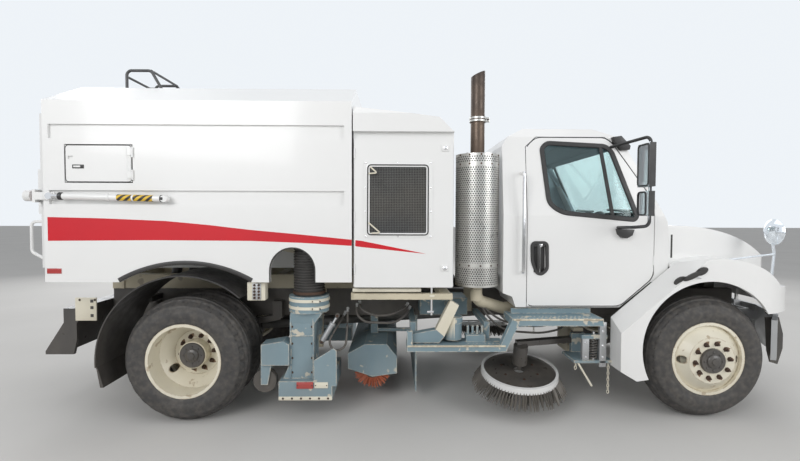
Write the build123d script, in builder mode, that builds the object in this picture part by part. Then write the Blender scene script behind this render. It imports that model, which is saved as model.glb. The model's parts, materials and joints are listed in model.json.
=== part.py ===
"""Vacuum street sweeper on a two-axle truck with a cab behind its bonnet.

Millimetres. +X points forward, +Y to the truck's left and +Z up. The origin is on the ground,
below the middle of the truck's length and width. The truck's right-hand side is at -Y.
"""

import os
from math import cos, radians, sin

from build123d import *

os.makedirs("parts", exist_ok=True)

# Stations along the truck
wheelbase = 4318.0
front_overhang = 990.0
rear_overhang = 1300.0
x_front = (wheelbase + rear_overhang - front_overhang) / 2
x_rear = x_front - wheelbase
half_width = 1220.0

# Wheels
tyre_radius = 512.0
tyre_width = 279.0
bead_radius = 292.0
rim_half_width = 105.0
flange_width = 15.0
flange_height = 14.0
rim_wall = 12.0
front_track_half = 1030.0
rear_track_half = 1080.0
dual_spacing = 343.0
hub_radius = 106.0
spindle_radius = 45.0
spindle_clearance = 0.1
drum_radius = 200.0
hand_hole_radius = 32.0
hand_hole_circle = 226.0
kingpin_inset = 165.0
kingpin_half = front_track_half - kingpin_inset

# Chassis frame
rail_outer = 432.0
rail_height = 260.0
rail_top = 985.0
rail_flange = 80.0
rail_web = 12.0
rail_front = x_front + 720.0
rail_rear = x_rear - 1010.0
rail_bottom = rail_top - rail_height

# Cab
cab_back = x_front - 1690.0
cowl = x_front - 290.0
cab_half = 1020.0
cab_floor = 1000.0
cab_wall = 50.0
cab_waist = 1700.0
cab_roof = 2460.0
roof_half = 920.0
door_gap = 6.0
door_hinge_x = x_front - 405.0
door_bottom = 930.0
glass_thickness = 8.0

# Hopper
hopper_rear = x_rear - 1069.0
hopper_front = x_rear + 1363.0
hopper_wall = 60.0
skirt_wall = 40.0
skirt_bottom = 1160.0
eave_height = 2600.0
ridge_height = 2820.0
ridge_half = half_width - 470.0
floor_bottom = 1360.0
floor_wall = 40.0
front_floor_bottom = 1500.0
floor_step_x = hopper_front - 705.0
hinge_x = hopper_rear + 107.0
hinge_z = 1130.0
door_top = 2500.0
door_low = 1270.0
rear_door_thickness = 50.0
rear_seal_gap = 5.0

# Engine housing behind the cab
housing_gap = 10.0
housing_length = 810.0
housing_rear = hopper_front + housing_gap
housing_front = housing_rear + housing_length
housing_bottom = 1120.0
housing_door_top = 2308.0
cap_bottom = 2367.0
housing_wall = 40.0

# Sweeping gear
nozzle_x = x_rear + 988.0
nozzle_y = half_width - 200.0
hose_radius = 130.0
hose_bottom = 1030.0
hose_top = 1470.0
broom_x = x_front - 1510.0
broom_y = half_width - 320.0
broom_z = 335.0
broom_tilt = 11.0
broom_disc = 330.0
broom_tip = 418.0
arm_pivot_x = x_front - 950.0
arm_pivot_y = half_width - 460.0
roller_x = hopper_front + 148.0
roller_z = 312.0
roller_radius = 180.0
roller_half = 800.0


def plate(points, plane, amount, mode=Mode.ADD):
    """A flat plate with the closed outline of the points."""
    with BuildSketch(plane) as face:
        with BuildLine():
            Polyline(*points, close=True)
        make_face()
    extrude(face.sketch, amount=amount, mode=mode)


def arched_plate(start, legs, plane, amount, mode=Mode.ADD):
    """A flat plate. A leg is the next corner, or a pair: a point on the arc and the corner at its end."""
    with BuildSketch(plane) as face:
        with BuildLine():
            here = start
            for leg in legs:
                if isinstance(leg[0], tuple):
                    ThreePointArc(here, leg[0], leg[1])
                    here = leg[1]
                else:
                    Line(here, leg)
                    here = leg
            Line(here, start)
        make_face()
    extrude(face.sketch, amount=amount, mode=mode)


def block(x, y, z, mode=Mode.ADD):
    """A box between two values of each of x, y and z."""
    with Locations(((x[0] + x[1]) / 2, (y[0] + y[1]) / 2, (z[0] + z[1]) / 2)):
        Box(abs(x[1] - x[0]), abs(y[1] - y[0]), abs(z[1] - z[0]), mode=mode)


def turned(profile, centre, axis, radial, mode=Mode.ADD):
    """A turned solid: the profile gives (radius, distance along the axis) from the centre."""
    middle, along, out = Vector(*centre), Vector(*axis), Vector(*radial)
    with BuildSketch(Plane(origin=middle, x_dir=out, z_dir=out.cross(along))) as half:
        with BuildLine():
            Polyline(*profile, close=True)
        make_face()
    revolve(half.sketch, axis=Axis(middle, along), mode=mode)


def rod(start, end, radius, mode=Mode.ADD):
    """A round bar between two points."""
    first, last = Vector(*start), Vector(*end)
    with BuildSketch(Plane(origin=first, z_dir=last - first)) as end_face:
        Circle(radius)
    extrude(end_face.sketch, amount=(last - first).length, mode=mode)


def pipe(points, bend, radius, mode=Mode.ADD):
    """A round bar that follows the points with a rounded bend at each inner one."""
    with BuildLine() as path:
        FilletPolyline(*points, radius=bend)
    with BuildSketch(path.line ^ 0) as section:
        Circle(radius)
    sweep(section.sketch, path=path.line, mode=mode)


def side_plane(y):
    """A drawing plane seen from the truck's right, with local x forward and local y up."""
    return Plane(origin=(0, y, 0), x_dir=(1, 0, 0), z_dir=(0, -1, 0))


def cross_plane(x):
    """A drawing plane across the truck, with local x to the left and local y up."""
    return Plane(origin=(x, 0, 0), x_dir=(0, 1, 0), z_dir=(1, 0, 0))


def keep(part, name):
    """Labels a finished piece and writes it."""
    part.label = name
    export_step(part, f"parts/{name}.step")


def both_sides(right, name):
    """Writes a right-hand piece and its mirror image on the left."""
    keep(right.part, f"{name}_right")
    with BuildPart() as left:
        mirror(right.part, about=Plane.XZ)
    keep(left.part, f"{name}_left")


# Chassis: two channel rails, open to the inside
with BuildPart() as frame_rails:
    block((rail_rear, rail_front), (-rail_outer, -rail_outer + rail_flange), (rail_bottom, rail_top))
    block(
        (rail_rear - 1, rail_front + 1),
        (-rail_outer + rail_web, -rail_outer + rail_flange + 1),
        (rail_bottom + rail_web, rail_top - rail_web),
        mode=Mode.SUBTRACT,
    )
    mirror(about=Plane.XZ)
keep(frame_rails.part, "frame_rails")

# Cross members between the rails' webs. Each row: x of the middle, length along the truck, height
cross_reach = rail_outer - rail_web
ram_base_x = hinge_x + 380.0
cross_members = [
    (rail_front - 60.0, 80.0, 200.0),
    (cab_back - 120.0, 90.0, 200.0),
    (housing_rear + 120.0, 90.0, 200.0),
    (x_rear + 640.0, 90.0, 200.0),
    (rail_rear + 50.0, 90.0, 200.0),
]
ram_base_z = 650.0
ram_half = 200.0
ram_ear_gap = 110.0
ram_member = 130.0
ram_pin = 16.0
with BuildPart() as frame_crossmembers:
    for x_mid, length, height in cross_members:
        low = rail_bottom + (rail_height - height) / 2
        block((x_mid - length / 2, x_mid + length / 2), (-cross_reach, cross_reach), (low, low + height))
    # The member that carries the lift rams' feet between two pairs of ears
    block(
        (ram_base_x - ram_member, ram_base_x + ram_member),
        (-cross_reach, cross_reach),
        (rail_bottom + rail_web, rail_bottom + rail_web + 60),
    )
    for y in (-ram_half, ram_half):
        for ear in (-1, 1):
            ear_in = y + ear * ram_ear_gap / 2
            ear_out = ear_in + ear * 16
            block(
                (ram_base_x - 50, ram_base_x + 50),
                (ear_in, ear_out),
                (ram_base_z - 50, rail_bottom + rail_web),
            )
        block(
            (ram_base_x - ram_member + 30, ram_base_x + ram_member - 30),
            (y - ram_ear_gap / 2 - 4, y + ram_ear_gap / 2 + 4),
            (rail_bottom + rail_web, rail_bottom + rail_web + 61),
            mode=Mode.SUBTRACT,
        )
        rod(
            (ram_base_x, y - ram_ear_gap / 2 - 8, ram_base_z),
            (ram_base_x, y + ram_ear_gap / 2 + 8, ram_base_z),
            ram_pin,
        )
keep(frame_crossmembers.part, "frame_crossmembers")

# Front axle: a dropped beam with an eye for each kingpin, and a leaf pack under each rail
beam_top = 470.0
spring_front_y = 395.0
spring_width = 76.0
spring_depth = 60.0
eye_radius = 44.0
eye_low, eye_high = tyre_radius - 66.0, tyre_radius + 66.0
hanger_x = 640.0
with BuildPart() as front_axle:
    block((x_front - 55, x_front + 55), (-560, 560), (beam_top - 90, beam_top))
    plate(
        [
            (-kingpin_half, eye_low + 24),
            (-560, beam_top - 90),
            (-540, beam_top),
            (-700, beam_top),
            (-kingpin_half, eye_high - 10),
        ],
        cross_plane(x_front - 40),
        80,
    )
    rod((x_front, -kingpin_half, eye_low), (x_front, -kingpin_half, eye_high), eye_radius)
    plate(
        [
            (kingpin_half, eye_low + 24),
            (560, beam_top - 90),
            (540, beam_top),
            (700, beam_top),
            (kingpin_half, eye_high - 10),
        ],
        cross_plane(x_front - 40),
        80,
    )
    rod((x_front, kingpin_half, eye_low), (x_front, kingpin_half, eye_high), eye_radius)
    for y in (-spring_front_y, spring_front_y):
        plate(
            [
                (x_front - hanger_x, rail_bottom - 75),
                (x_front, beam_top - 1),
                (x_front + hanger_x, rail_bottom - 75),
                (x_front + hanger_x, rail_bottom - 30),
                (x_front + 120, beam_top + spring_depth),
                (x_front - 120, beam_top + spring_depth),
                (x_front - hanger_x, rail_bottom - 30),
            ],
            side_plane(y + spring_width / 2),
            spring_width,
        )
        for x in (x_front - hanger_x + 30, x_front + hanger_x - 30):
            block((x - 40, x + 40), (y - 30, y + 30), (rail_bottom - 60, rail_bottom))
keep(front_axle.part, "front_axle")

# Rear axle: tube with its gear housing, leaf packs outside the rails, and the drive shaft
spring_rear_y = 486.0
axle_tube = 75.0
rear_spindle = 50.0
drum_depth = 150.0
drum_inner = rear_track_half - dual_spacing / 2 - 14.5 - drum_depth
hanger_rear_x = 620.0
with BuildPart() as rear_axle:
    rod((x_rear, -drum_inner + 4, tyre_radius), (x_rear, drum_inner - 4, tyre_radius), axle_tube)
    rod((x_rear, -drum_inner - 130, tyre_radius), (x_rear, drum_inner + 130, tyre_radius), rear_spindle)
    turned(
        [(0, -150), (90, -150), (180, -70), (180, 70), (90, 150), (0, 150)],
        (x_rear, 0, tyre_radius),
        (0, 1, 0),
        (1, 0, 0),
    )
    rod((x_rear + 120, 0, tyre_radius), (x_rear + 300, 0, tyre_radius + 20), 85)
    for y in (-spring_rear_y, spring_rear_y):
        plate(
            [
                (x_rear - hanger_rear_x, rail_bottom - 25),
                (x_rear, tyre_radius + axle_tube - 10),
                (x_rear + hanger_rear_x, rail_bottom - 25),
                (x_rear + hanger_rear_x, rail_bottom + 25),
                (x_rear + 120, tyre_radius + axle_tube + 80),
                (x_rear - 120, tyre_radius + axle_tube + 80),
                (x_rear - hanger_rear_x, rail_bottom + 25),
            ],
            side_plane(y + spring_width / 2),
            spring_width,
        )
        side = 1 if y > 0 else -1
        for x in (x_rear - hanger_rear_x + 30, x_rear + hanger_rear_x - 30):
            block(
                (x - 45, x + 45),
                (side * rail_outer, side * (spring_rear_y + spring_width / 2)),
                (rail_bottom - 10, rail_bottom + 150),
            )
keep(rear_axle.part, "rear_axle")

# Truck engine, gearbox and drive shaft as one plain block and its shaft
gearbox_rear = x_front - 1450.0
engine_rear = x_front - 260.0
with BuildPart() as chassis_engine:
    block((engine_rear, x_front + 420), (-300, 300), (600, 1290))
    block((gearbox_rear, engine_rear), (-190, 190), (600, 940))
    rod((gearbox_rear, 0, 690), (x_rear + 306, 0, tyre_radius + 22), 50)
    # Radiator on the rails ahead of the engine, joined by its fan
    block((x_front + 500, x_front + 600), (-345, 345), (rail_bottom + 20, 1280))
    rod((x_front + 420, 0, 1010), (x_front + 500, 0, 1010), 240)
    for side in (-1, 1):
        block((x_front - 60, x_front + 60), (side * 300, side * (rail_outer - rail_web)), (760, 880))
keep(chassis_engine.part, "chassis_engine")

# Knuckles: a fork above and below the axle's eye, a spindle and a brake plate
fork_gap = 0.5
fork_depth = 34.0
arm_length = 150.0
with BuildPart() as knuckle:
    for low, high in (
        (eye_low - fork_gap - fork_depth, eye_low - fork_gap),
        (eye_high + fork_gap, eye_high + fork_gap + fork_depth),
    ):
        rod((x_front, -kingpin_half, low), (x_front, -kingpin_half, high), eye_radius)
        block((x_front - 44, x_front + 44), (-kingpin_half, -kingpin_half - 66), (low, high))
    block(
        (x_front - 44, x_front + 44),
        (-kingpin_half - 50, -kingpin_half - 66),
        (eye_low - fork_gap - fork_depth, eye_high + fork_gap + fork_depth),
    )
    rod(
        (x_front, -kingpin_half - 60, tyre_radius),
        (x_front, -front_track_half - 50, tyre_radius),
        spindle_radius,
    )
    rod(
        (x_front, -kingpin_half - 66, tyre_radius),
        (x_front, -kingpin_half - 76, tyre_radius),
        drum_radius,
    )
    # Steering arm behind the axle
    block(
        (x_front - arm_length - 20, x_front - 30),
        (-kingpin_half - 20, -kingpin_half + 20),
        (eye_low - fork_gap - fork_depth, eye_low - fork_gap),
    )
both_sides(knuckle, "knuckle")

tie_rod_z = eye_low - fork_gap - fork_depth
with BuildPart() as tie_rod:
    for y in (-kingpin_half, kingpin_half):
        rod((x_front - arm_length, y, tie_rod_z - 34.5), (x_front - arm_length, y, tie_rod_z - 0.5), 26)
    rod(
        (x_front - arm_length, -kingpin_half, tie_rod_z - 17),
        (x_front - arm_length, kingpin_half, tie_rod_z - 17),
        15,
    )
keep(tie_rod.part, "tie_rod")


def tyre(x, y):
    """A tyre about its middle plane at y, with crowned side walls."""
    half_tread = tyre_width / 2 - 38
    shoulder = tyre_radius - 14
    flange_radius = bead_radius + flange_height
    seat = rim_half_width - 0.3
    with BuildSketch(Plane(origin=(x, y, tyre_radius), x_dir=(1, 0, 0), z_dir=(0, 0, 1))) as half:
        with BuildLine():
            Polyline((flange_radius, -seat), (bead_radius, -seat), (bead_radius, seat), (flange_radius, seat))
            ThreePointArc((flange_radius, seat), (400, tyre_width / 2), (shoulder, half_tread + 14))
            Polyline(
                (shoulder, half_tread + 14),
                (tyre_radius, half_tread),
                (tyre_radius, -half_tread),
                (shoulder, -half_tread - 14),
            )
            ThreePointArc((shoulder, -half_tread - 14), (400, -tyre_width / 2), (flange_radius, -seat))
        make_face()
    revolve(half.sketch, axis=Axis((x, y, tyre_radius), (0, 1, 0)))


def hand_holes(x, y, depth, angles):
    """Round openings through a wheel disc, cut along y."""
    for angle in angles:
        reach_x = x + hand_hole_circle * cos(radians(angle))
        reach_z = tyre_radius + hand_hole_circle * sin(radians(angle))
        rod((reach_x, y, reach_z), (reach_x, y + depth, reach_z), hand_hole_radius, mode=Mode.SUBTRACT)


# Front wheels: the disc bulges out past the rim's lip
front_disc = 165.0
outer_edge = rim_half_width + flange_width
well_radius = bead_radius - rim_wall
flange_radius = bead_radius + flange_height
with BuildPart() as tyre_front:
    tyre(x_front, -front_track_half)
both_sides(tyre_front, "tyre_front")

with BuildPart() as rim_front:
    turned(
        [
            (flange_radius, -outer_edge),
            (flange_radius, -rim_half_width),
            (bead_radius, -rim_half_width),
            (bead_radius, rim_half_width),
            (flange_radius, rim_half_width),
            (flange_radius, outer_edge),
            (well_radius, outer_edge),
            (well_radius, -70),
            (250, -88),
            (184, -front_disc + rim_wall),
            (hub_radius - 2, -front_disc + rim_wall),
            (hub_radius - 2, -front_disc),
            (190, -front_disc),
            (258, -100),
            (well_radius, -88),
            (well_radius, -outer_edge),
        ],
        (x_front, -front_track_half, tyre_radius),
        (0, 1, 0),
        (1, 0, 0),
    )
    hand_holes(x_front, -front_track_half - 60, -90, (180, 0))
    # Hub and brake drum, with the spindle's bore
    bore = spindle_radius + spindle_clearance
    turned(
        [
            (bore, 88),
            (drum_radius, 88),
            (drum_radius, -55),
            (hub_radius, -70),
            (hub_radius, -front_disc + 5),
            (hub_radius - 8, -front_disc - 20),
            (0, -front_disc - 20),
            (0, -60),
            (bore, -60),
        ],
        (x_front, -front_track_half, tyre_radius),
        (0, 1, 0),
        (1, 0, 0),
    )
both_sides(rim_front, "rim_front")

# Rear twin wheels: dished discs bolted back to back on one hub
with BuildPart() as tyre_rear:
    tyre(x_rear, -rear_track_half)
    tyre(x_rear, -rear_track_half + dual_spacing)
both_sides(tyre_rear, "tyre_rear")

mating = dual_spacing / 2
disc_face = mating - 14.5
dished_rim = [
    (flange_radius, -outer_edge),
    (flange_radius, -rim_half_width),
    (bead_radius, -rim_half_width),
    (bead_radius, rim_half_width),
    (flange_radius, rim_half_width),
    (flange_radius, outer_edge),
    (well_radius, outer_edge),
    (well_radius, 80),
    (186, mating),
    (hub_radius + 8, mating),
    (hub_radius + 8, disc_face),
    (192, disc_face),
    (well_radius, 60),
    (well_radius, -outer_edge),
]
with BuildPart() as rim_rear:
    turned(dished_rim, (x_rear, -rear_track_half, tyre_radius), (0, 1, 0), (1, 0, 0))
    turned(
        [(radius, dual_spacing - along) for radius, along in dished_rim],
        (x_rear, -rear_track_half, tyre_radius),
        (0, 1, 0),
        (1, 0, 0),
    )
    hand_holes(x_rear, -rear_track_half + 40, 260, (215, 35))
    rear_bore = rear_spindle + spindle_clearance
    turned(
        [
            (0, 45),
            (hub_radius - 6, 45),
            (hub_radius + 10, 60),
            (hub_radius + 10, mating + 14),
            (drum_radius, mating + 14),
            (drum_radius, mating + 14.5 + drum_depth),
            (rear_bore, mating + 14.5 + drum_depth),
            (rear_bore, mating + 14.5),
            (0, mating + 14.5),
        ],
        (x_rear, -rear_track_half, tyre_radius),
        (0, 1, 0),
        (1, 0, 0),
    )
both_sides(rim_rear, "rim_rear")

nose = x_front + front_overhang

# Front bumper: a deep bar swept back towards its ends, with a flap behind each end
bumper_depth = 36.0
bumper_low, bumper_high = 500.0, 835.0
flap_y = 1000.0
flap_thick = 14.0
hood_pivot_x = nose - 75.0
hood_pivot_z = 832.0
hood_pin = 10.0
hood_arm_half = 245.0
bumper_line = [
    (nose, 0),
    (nose - 25, 480),
    (nose - 200, 900),
    (nose - 420, 1150),
]
with BuildPart() as front_bumper:
    outline = [(x, y) for x, y in bumper_line[::-1]] + [(x, -y) for x, y in bumper_line[1:]]
    inner = [(x - bumper_depth, y * 0.985) for x, y in reversed(outline)]
    plate(outline + inner, Plane.XY.offset(bumper_low), bumper_high - bumper_low)
    for side in (-1, 1):
        plate(
            [
                (x_front + 590, bumper_high - 5),
                (x_front + 705, bumper_high - 5),
                (x_front + 745, bumper_high - 150),
                (x_front + 745, bumper_low + 60),
                (x_front + 704, bumper_low - 79),
                (x_front + 640, bumper_low - 60),
                (x_front + 612, bumper_low + 40),
            ],
            side_plane(side * flap_y + flap_thick / 2),
            flap_thick,
        )
        block(
            (rail_front - 40, hood_pivot_x - 30),
            (side * rail_outer, side * (rail_outer + 20)),
            (rail_bottom + 10, rail_bottom + 70),
        )
        block(
            (hood_pivot_x - 30, nose - 22),
            (side * (rail_outer - 60), side * (rail_outer + 20)),
            (rail_bottom - 40, rail_bottom + 50),
        )
        # Ears and pins on which the bonnet tilts
        block(
            (hood_pivot_x - 55, hood_pivot_x + 16),
            (side * (hood_arm_half + 16), side * (hood_arm_half + 32)),
            (rail_bottom + 40, hood_pivot_z + 16),
        )
        rod(
            (hood_pivot_x, side * (hood_arm_half - 14), hood_pivot_z),
            (hood_pivot_x, side * (hood_arm_half + 20), hood_pivot_z),
            hood_pin,
        )
    block(
        (hood_pivot_x - 60, hood_pivot_x - 30),
        (-rail_outer - 20, rail_outer + 20),
        (rail_bottom - 20, rail_bottom + 70),
    )
keep(front_bumper.part, "front_bumper")

# Cab: the outside is a side outline crossed with a front outline
screen_foot = (cowl, 1650.0)
screen_head = (x_front - 655.0, 2370.0)
rear_pane = (cab_half - 600, 1750.0, 2200.0)
cab_side = [
    (cab_back + 110, door_bottom - 10),
    (cab_back + 80, 1010),
    (cab_back, 1040),
    (cab_back, 2300),
    (cab_back + 50, 2380),
    (cab_back + 200, cab_roof),
    (x_front - 880, cab_roof),
    screen_head,
    screen_foot,
    (cowl + 10, 1560),
    (cowl + 10, 1150),
    (x_front - 430, 1135),
    (x_front - 690, door_bottom - 10),
]
cab_front = [
    (-cab_half, door_bottom - 20),
    (-cab_half, cab_waist),
    (-roof_half, cab_roof - 80),
    (-roof_half + 70, cab_roof),
    (roof_half - 70, cab_roof),
    (roof_half, cab_roof - 80),
    (cab_half, cab_waist),
    (cab_half, door_bottom - 20),
]
cabin_side = [
    (cab_back + 130, cab_floor + cab_wall),
    (cab_back + cab_wall, 1090),
    (cab_back + cab_wall, 2280),
    (cab_back + 215, cab_roof - cab_wall),
    (x_front - 900, cab_roof - cab_wall),
    (screen_head[0] - 40, screen_head[1] - 40),
    (screen_foot[0] - 60, screen_foot[1]),
    (screen_foot[0] - 60, 1190),
    (x_front - 460, 1180),
    (x_front - 620, cab_floor + cab_wall),
]
cabin_front = [
    (-cab_half + cab_wall, door_bottom),
    (-cab_half + cab_wall, cab_waist),
    (-roof_half + cab_wall, cab_roof - 90),
    (-roof_half + 100, cab_roof - cab_wall),
    (roof_half - 100, cab_roof - cab_wall),
    (roof_half - cab_wall, cab_roof - 90),
    (cab_half - cab_wall, cab_waist),
    (cab_half - cab_wall, door_bottom),
]
with BuildPart() as cabin_space:
    plate(cabin_side, side_plane(cab_half + 10), 2 * cab_half + 20)
    plate(cabin_front, cross_plane(cab_back - 10), cowl - cab_back + 400, mode=Mode.INTERSECT)
with BuildPart() as cab_body:
    plate(cab_side, side_plane(cab_half + 10), 2 * cab_half + 20)
    plate(cab_front, cross_plane(cab_back - 10), cowl - cab_back + 400, mode=Mode.INTERSECT)
    add(cabin_space.part, mode=Mode.SUBTRACT)

door_rear = x_front - 1485.0
door_outline = [
    (door_rear, door_bottom),
    (x_front - 688, door_bottom),
    (door_hinge_x - 25, 1152),
    (door_hinge_x, 1200),
    (door_hinge_x, 1830),
    (x_front - 735, 2330),
    (x_front - 800, 2375),
    (door_rear + 90, 2375),
    (door_rear, 2290),
]
window_outline = [
    (x_front - 1300, 1800),
    (x_front - 1190, 1725),
    (x_front - 575, 1668),
    (x_front - 555, 1700),
    (x_front - 745, 2255),
    (x_front - 800, 2300),
    (x_front - 1300, 2325),
    (x_front - 1348, 2280),
]


def door_form(gap):
    """The room of the right-hand door, wider by a gap all round. Above the waist it reaches in."""
    with BuildSketch(side_plane(-cab_half + 240)) as doorway_face:
        with BuildLine():
            Polyline(*door_outline, close=True)
        make_face()
        if gap:
            offset(amount=gap, kind=Kind.INTERSECTION)
    extrude(doorway_face.sketch, amount=340)
    block(
        (door_rear - 50, cowl),
        (-cab_half + cab_wall + 10, -cab_half + 250),
        (door_bottom - 50, cab_waist),
        mode=Mode.SUBTRACT,
    )


with BuildPart() as doorway:
    door_form(door_gap)
with BuildPart() as cab_shell:
    add(cab_body.part)
    add(doorway.part, mode=Mode.SUBTRACT)
    mirror(doorway.part, about=Plane.XZ, mode=Mode.SUBTRACT)
    # Windscreen and rear window openings
    screen_line = Vector(screen_foot[0], 0, screen_foot[1]) - Vector(screen_head[0], 0, screen_head[1])
    screen_plane = Plane(
        origin=(
            (screen_head[0] + screen_foot[0]) / 2,
            0,
            (screen_head[1] + screen_foot[1]) / 2,
        ),
        x_dir=(0, 1, 0),
        z_dir=Vector(0, 1, 0).cross(screen_line),
    )
    screen_length = screen_line.length
    with BuildSketch(screen_plane) as screen:
        with BuildLine():
            Polyline(
                (-cab_half + 110, -screen_length / 2 + 70),
                (-roof_half + 90, screen_length / 2 - 50),
                (roof_half - 90, screen_length / 2 - 50),
                (cab_half - 110, -screen_length / 2 + 70),
                close=True,
            )
        make_face()
    extrude(screen.sketch, amount=120, both=True, mode=Mode.SUBTRACT)
    block((cab_back - 20, cab_back + 90), (-rear_pane[0], rear_pane[0]), rear_pane[1:], mode=Mode.SUBTRACT)
    # Grab handles behind the doors
    for side in (-1, 1):
        grip_y = side * (cab_half + 45)
        pipe(
            [
                (x_front - 1530, side * (cab_half - 10), 1220),
                (x_front - 1530, grip_y, 1220),
                (x_front - 1530, grip_y, 2060),
                (x_front - 1530, side * (roof_half + 20), 2060),
            ],
            20,
            14,
        )
    # Room for the rails and gearbox below the floor, and feet on the rails
    block(
        (cab_back - 10, cowl + 20),
        (-rail_outer - 28, rail_outer + 28),
        (door_bottom - 20, cab_floor),
        mode=Mode.SUBTRACT,
    )
    for x in (cab_back + 160, x_front - 760):
        for side in (-1, 1):
            block((x - 50, x + 50), (side * 355, side * (rail_outer - 2)), (rail_top, cab_floor + 10))
keep(cab_shell.part, "cab_shell")

# Windscreen and rear window, each inside its opening
with BuildPart() as cab_glass:
    with BuildSketch(screen_plane) as screen:
        with BuildLine():
            Polyline(
                (-cab_half + 110.3, -screen_length / 2 + 70.3),
                (-roof_half + 90.3, screen_length / 2 - 50.3),
                (roof_half - 90.3, screen_length / 2 - 50.3),
                (cab_half - 110.3, -screen_length / 2 + 70.3),
                close=True,
            )
        make_face()
    extrude(screen.sketch, amount=glass_thickness / 2, both=True)
    block(
        (cab_back + 20, cab_back + 20 + glass_thickness),
        (-rear_pane[0] + 0.3, rear_pane[0] - 0.3),
        (rear_pane[1] + 0.3, rear_pane[2] - 0.3),
    )
keep(cab_glass.part, "cab_glass")

# Dashboard with a steering wheel on each side, and two seats, on the cab's floor
dash_rear = x_front - 640.0
wheel_half = 470.0
seat_front = x_front - 900.0
with BuildPart() as cab_interior:
    plate(
        [
            (screen_foot[0] - 70, 1200),
            (screen_foot[0] - 70, 1600),
            (dash_rear + 60, 1580),
            (dash_rear, 1480),
            (dash_rear + 60, 1300),
        ],
        side_plane(cab_half - 110),
        2 * (cab_half - 110),
    )
    for y in (-wheel_half, wheel_half):
        rod((dash_rear + 60, y, 1430), (dash_rear - 110, y, 1560), 24)
        turned(
            [(205, -13), (231, -13), (231, 13), (205, 13)],
            (dash_rear - 110, y, 1560),
            (-0.79, 0, 0.61),
            (0.61, 0, 0.79),
        )
        for angle in (0, 180):
            reach = 215 * cos(radians(angle))
            rod((dash_rear - 110, y, 1560), (dash_rear - 110, y + reach, 1560), 15)
    for y in (-wheel_half, wheel_half):
        block((seat_front - 420, seat_front - 60), (y - 160, y + 160), (cab_floor + cab_wall, 1330))
        block((seat_front - 480, seat_front), (y - 240, y + 240), (1330, 1450))
        plate(
            [
                (seat_front - 480, 1400),
                (seat_front - 360, 1400),
                (seat_front - 440, 2130),
                (seat_front - 540, 2130),
            ],
            side_plane(y + 230),
            460,
        )
keep(cab_interior.part, "cab_interior")

# Doors with their mirrors, and the glass in each door
mirror_x = x_front - 594.0
mirror_foot_x = mirror_x - 120.0
mirror_y = -cab_half - 260.0
mirror_tube = 13.0
knuckle_height = 80.0
knuckle_radius = 5.0
with BuildPart() as door:
    door_form(0)
    add(cab_body.part, mode=Mode.INTERSECT)
    plate(window_outline, side_plane(-cab_half + 300), 400, mode=Mode.SUBTRACT)
    # Handle recess
    block(
        (x_front - 1430, x_front - 1330),
        (-cab_half - 1, -cab_half + 22),
        (1215, 1465),
        mode=Mode.SUBTRACT,
    )
    rod((x_front - 1380, -cab_half + 11, 1210), (x_front - 1380, -cab_half + 11, 1470), 9)
    # Mirror loop with a tall flat mirror above a round one
    pipe(
        [
            (x_front - 756, -roof_half + 8, 2290),
            (mirror_x, mirror_y, 2330),
            (mirror_x, mirror_y, 1620),
            (mirror_foot_x, mirror_y, 1610),
            (mirror_foot_x, -cab_half + 24, 1600),
        ],
        (45, 45, 40),
        mirror_tube,
    )
    # Rows: top, bottom, edge nearer to the cab, outer edge
    for high, low, near, far in ((2270, 1930, -85, 85), (1895, 1700, -52, 80)):
        block(
            (mirror_x - 55, mirror_x - 5),
            (mirror_y - far, mirror_y - near),
            (low, high),
        )
    # Hinge knuckles at the door's front edge
    for z in (1280.0, 1720.0):
        rod((door_hinge_x, -cab_half, z), (door_hinge_x, -cab_half, z + knuckle_height), knuckle_radius)
both_sides(door, "door")

with BuildPart() as door_glass:
    with BuildSketch(side_plane(-roof_half + cab_wall + 200)) as pane:
        with BuildLine():
            Polyline(*window_outline, close=True)
        make_face()
        offset(amount=-0.3, kind=Kind.INTERSECTION)
    extrude(pane.sketch, amount=500)
    pane_low = cab_half - cab_wall / 2
    pane_high = roof_half - cab_wall / 2
    lean = (pane_low - pane_high) / (cab_roof - 80 - cab_waist)
    plate(
        [
            (-pane_low - glass_thickness, cab_waist - 100),
            (-pane_low - glass_thickness, cab_waist),
            (-pane_high - glass_thickness, cab_roof - 80),
            (-pane_high, cab_roof - 80),
            (-pane_low, cab_waist),
            (-pane_low, cab_waist - 100),
        ],
        cross_plane(cab_back),
        cowl - cab_back,
        mode=Mode.INTERSECT,
    )
both_sides(door_glass, "door_glass")

# Bonnet with its wings. Side outlines are crossed with outlines seen from above
bonnet_rear = cowl + 20.0
bonnet_wall = 32.0
bonnet_nose = x_front + 960.0
nose_bottom = 900.0
space_low = 580.0
wing_bottom = 350.0
arch_x = x_front - 30.0
arch_z = 607.0
arch_radius = 562.0
wheelhouse_radius = 650.0
wing_inner = cab_half + 12.0
wing_drop = 95.0


def bonnet_form(inset, low):
    """The middle of the bonnet down to a height, or the space that lies an inset inside it."""
    arched_plate(
        (bonnet_rear - inset, low),
        [
            (bonnet_rear - inset, 1615 - inset),
            ((x_front + 420, 1525 - inset), (bonnet_nose - 110 - inset, 1345 - inset)),
            ((bonnet_nose - 30 - inset, 1270 - inset), (bonnet_nose - inset, 1150)),
            (bonnet_nose - 25 - inset, low),
        ],
        side_plane(half_width),
        2 * half_width,
    )
    arched_plate(
        (bonnet_rear - inset, -cab_half + 40 + inset),
        [
            ((x_front + 466, -800 + inset), (bonnet_nose - 120 - inset, -610 + inset)),
            ((bonnet_nose - 30 - inset, -520 + inset), (bonnet_nose - inset, -400 + inset)),
            (bonnet_nose - inset, 400 - inset),
            ((bonnet_nose - 30 - inset, 520 - inset), (bonnet_nose - 120 - inset, 610 - inset)),
            ((x_front + 466, 800 - inset), (bonnet_rear - inset, cab_half - 40 - inset)),
        ],
        Plane.XY.offset(500),
        1300,
        mode=Mode.INTERSECT,
    )


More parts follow.
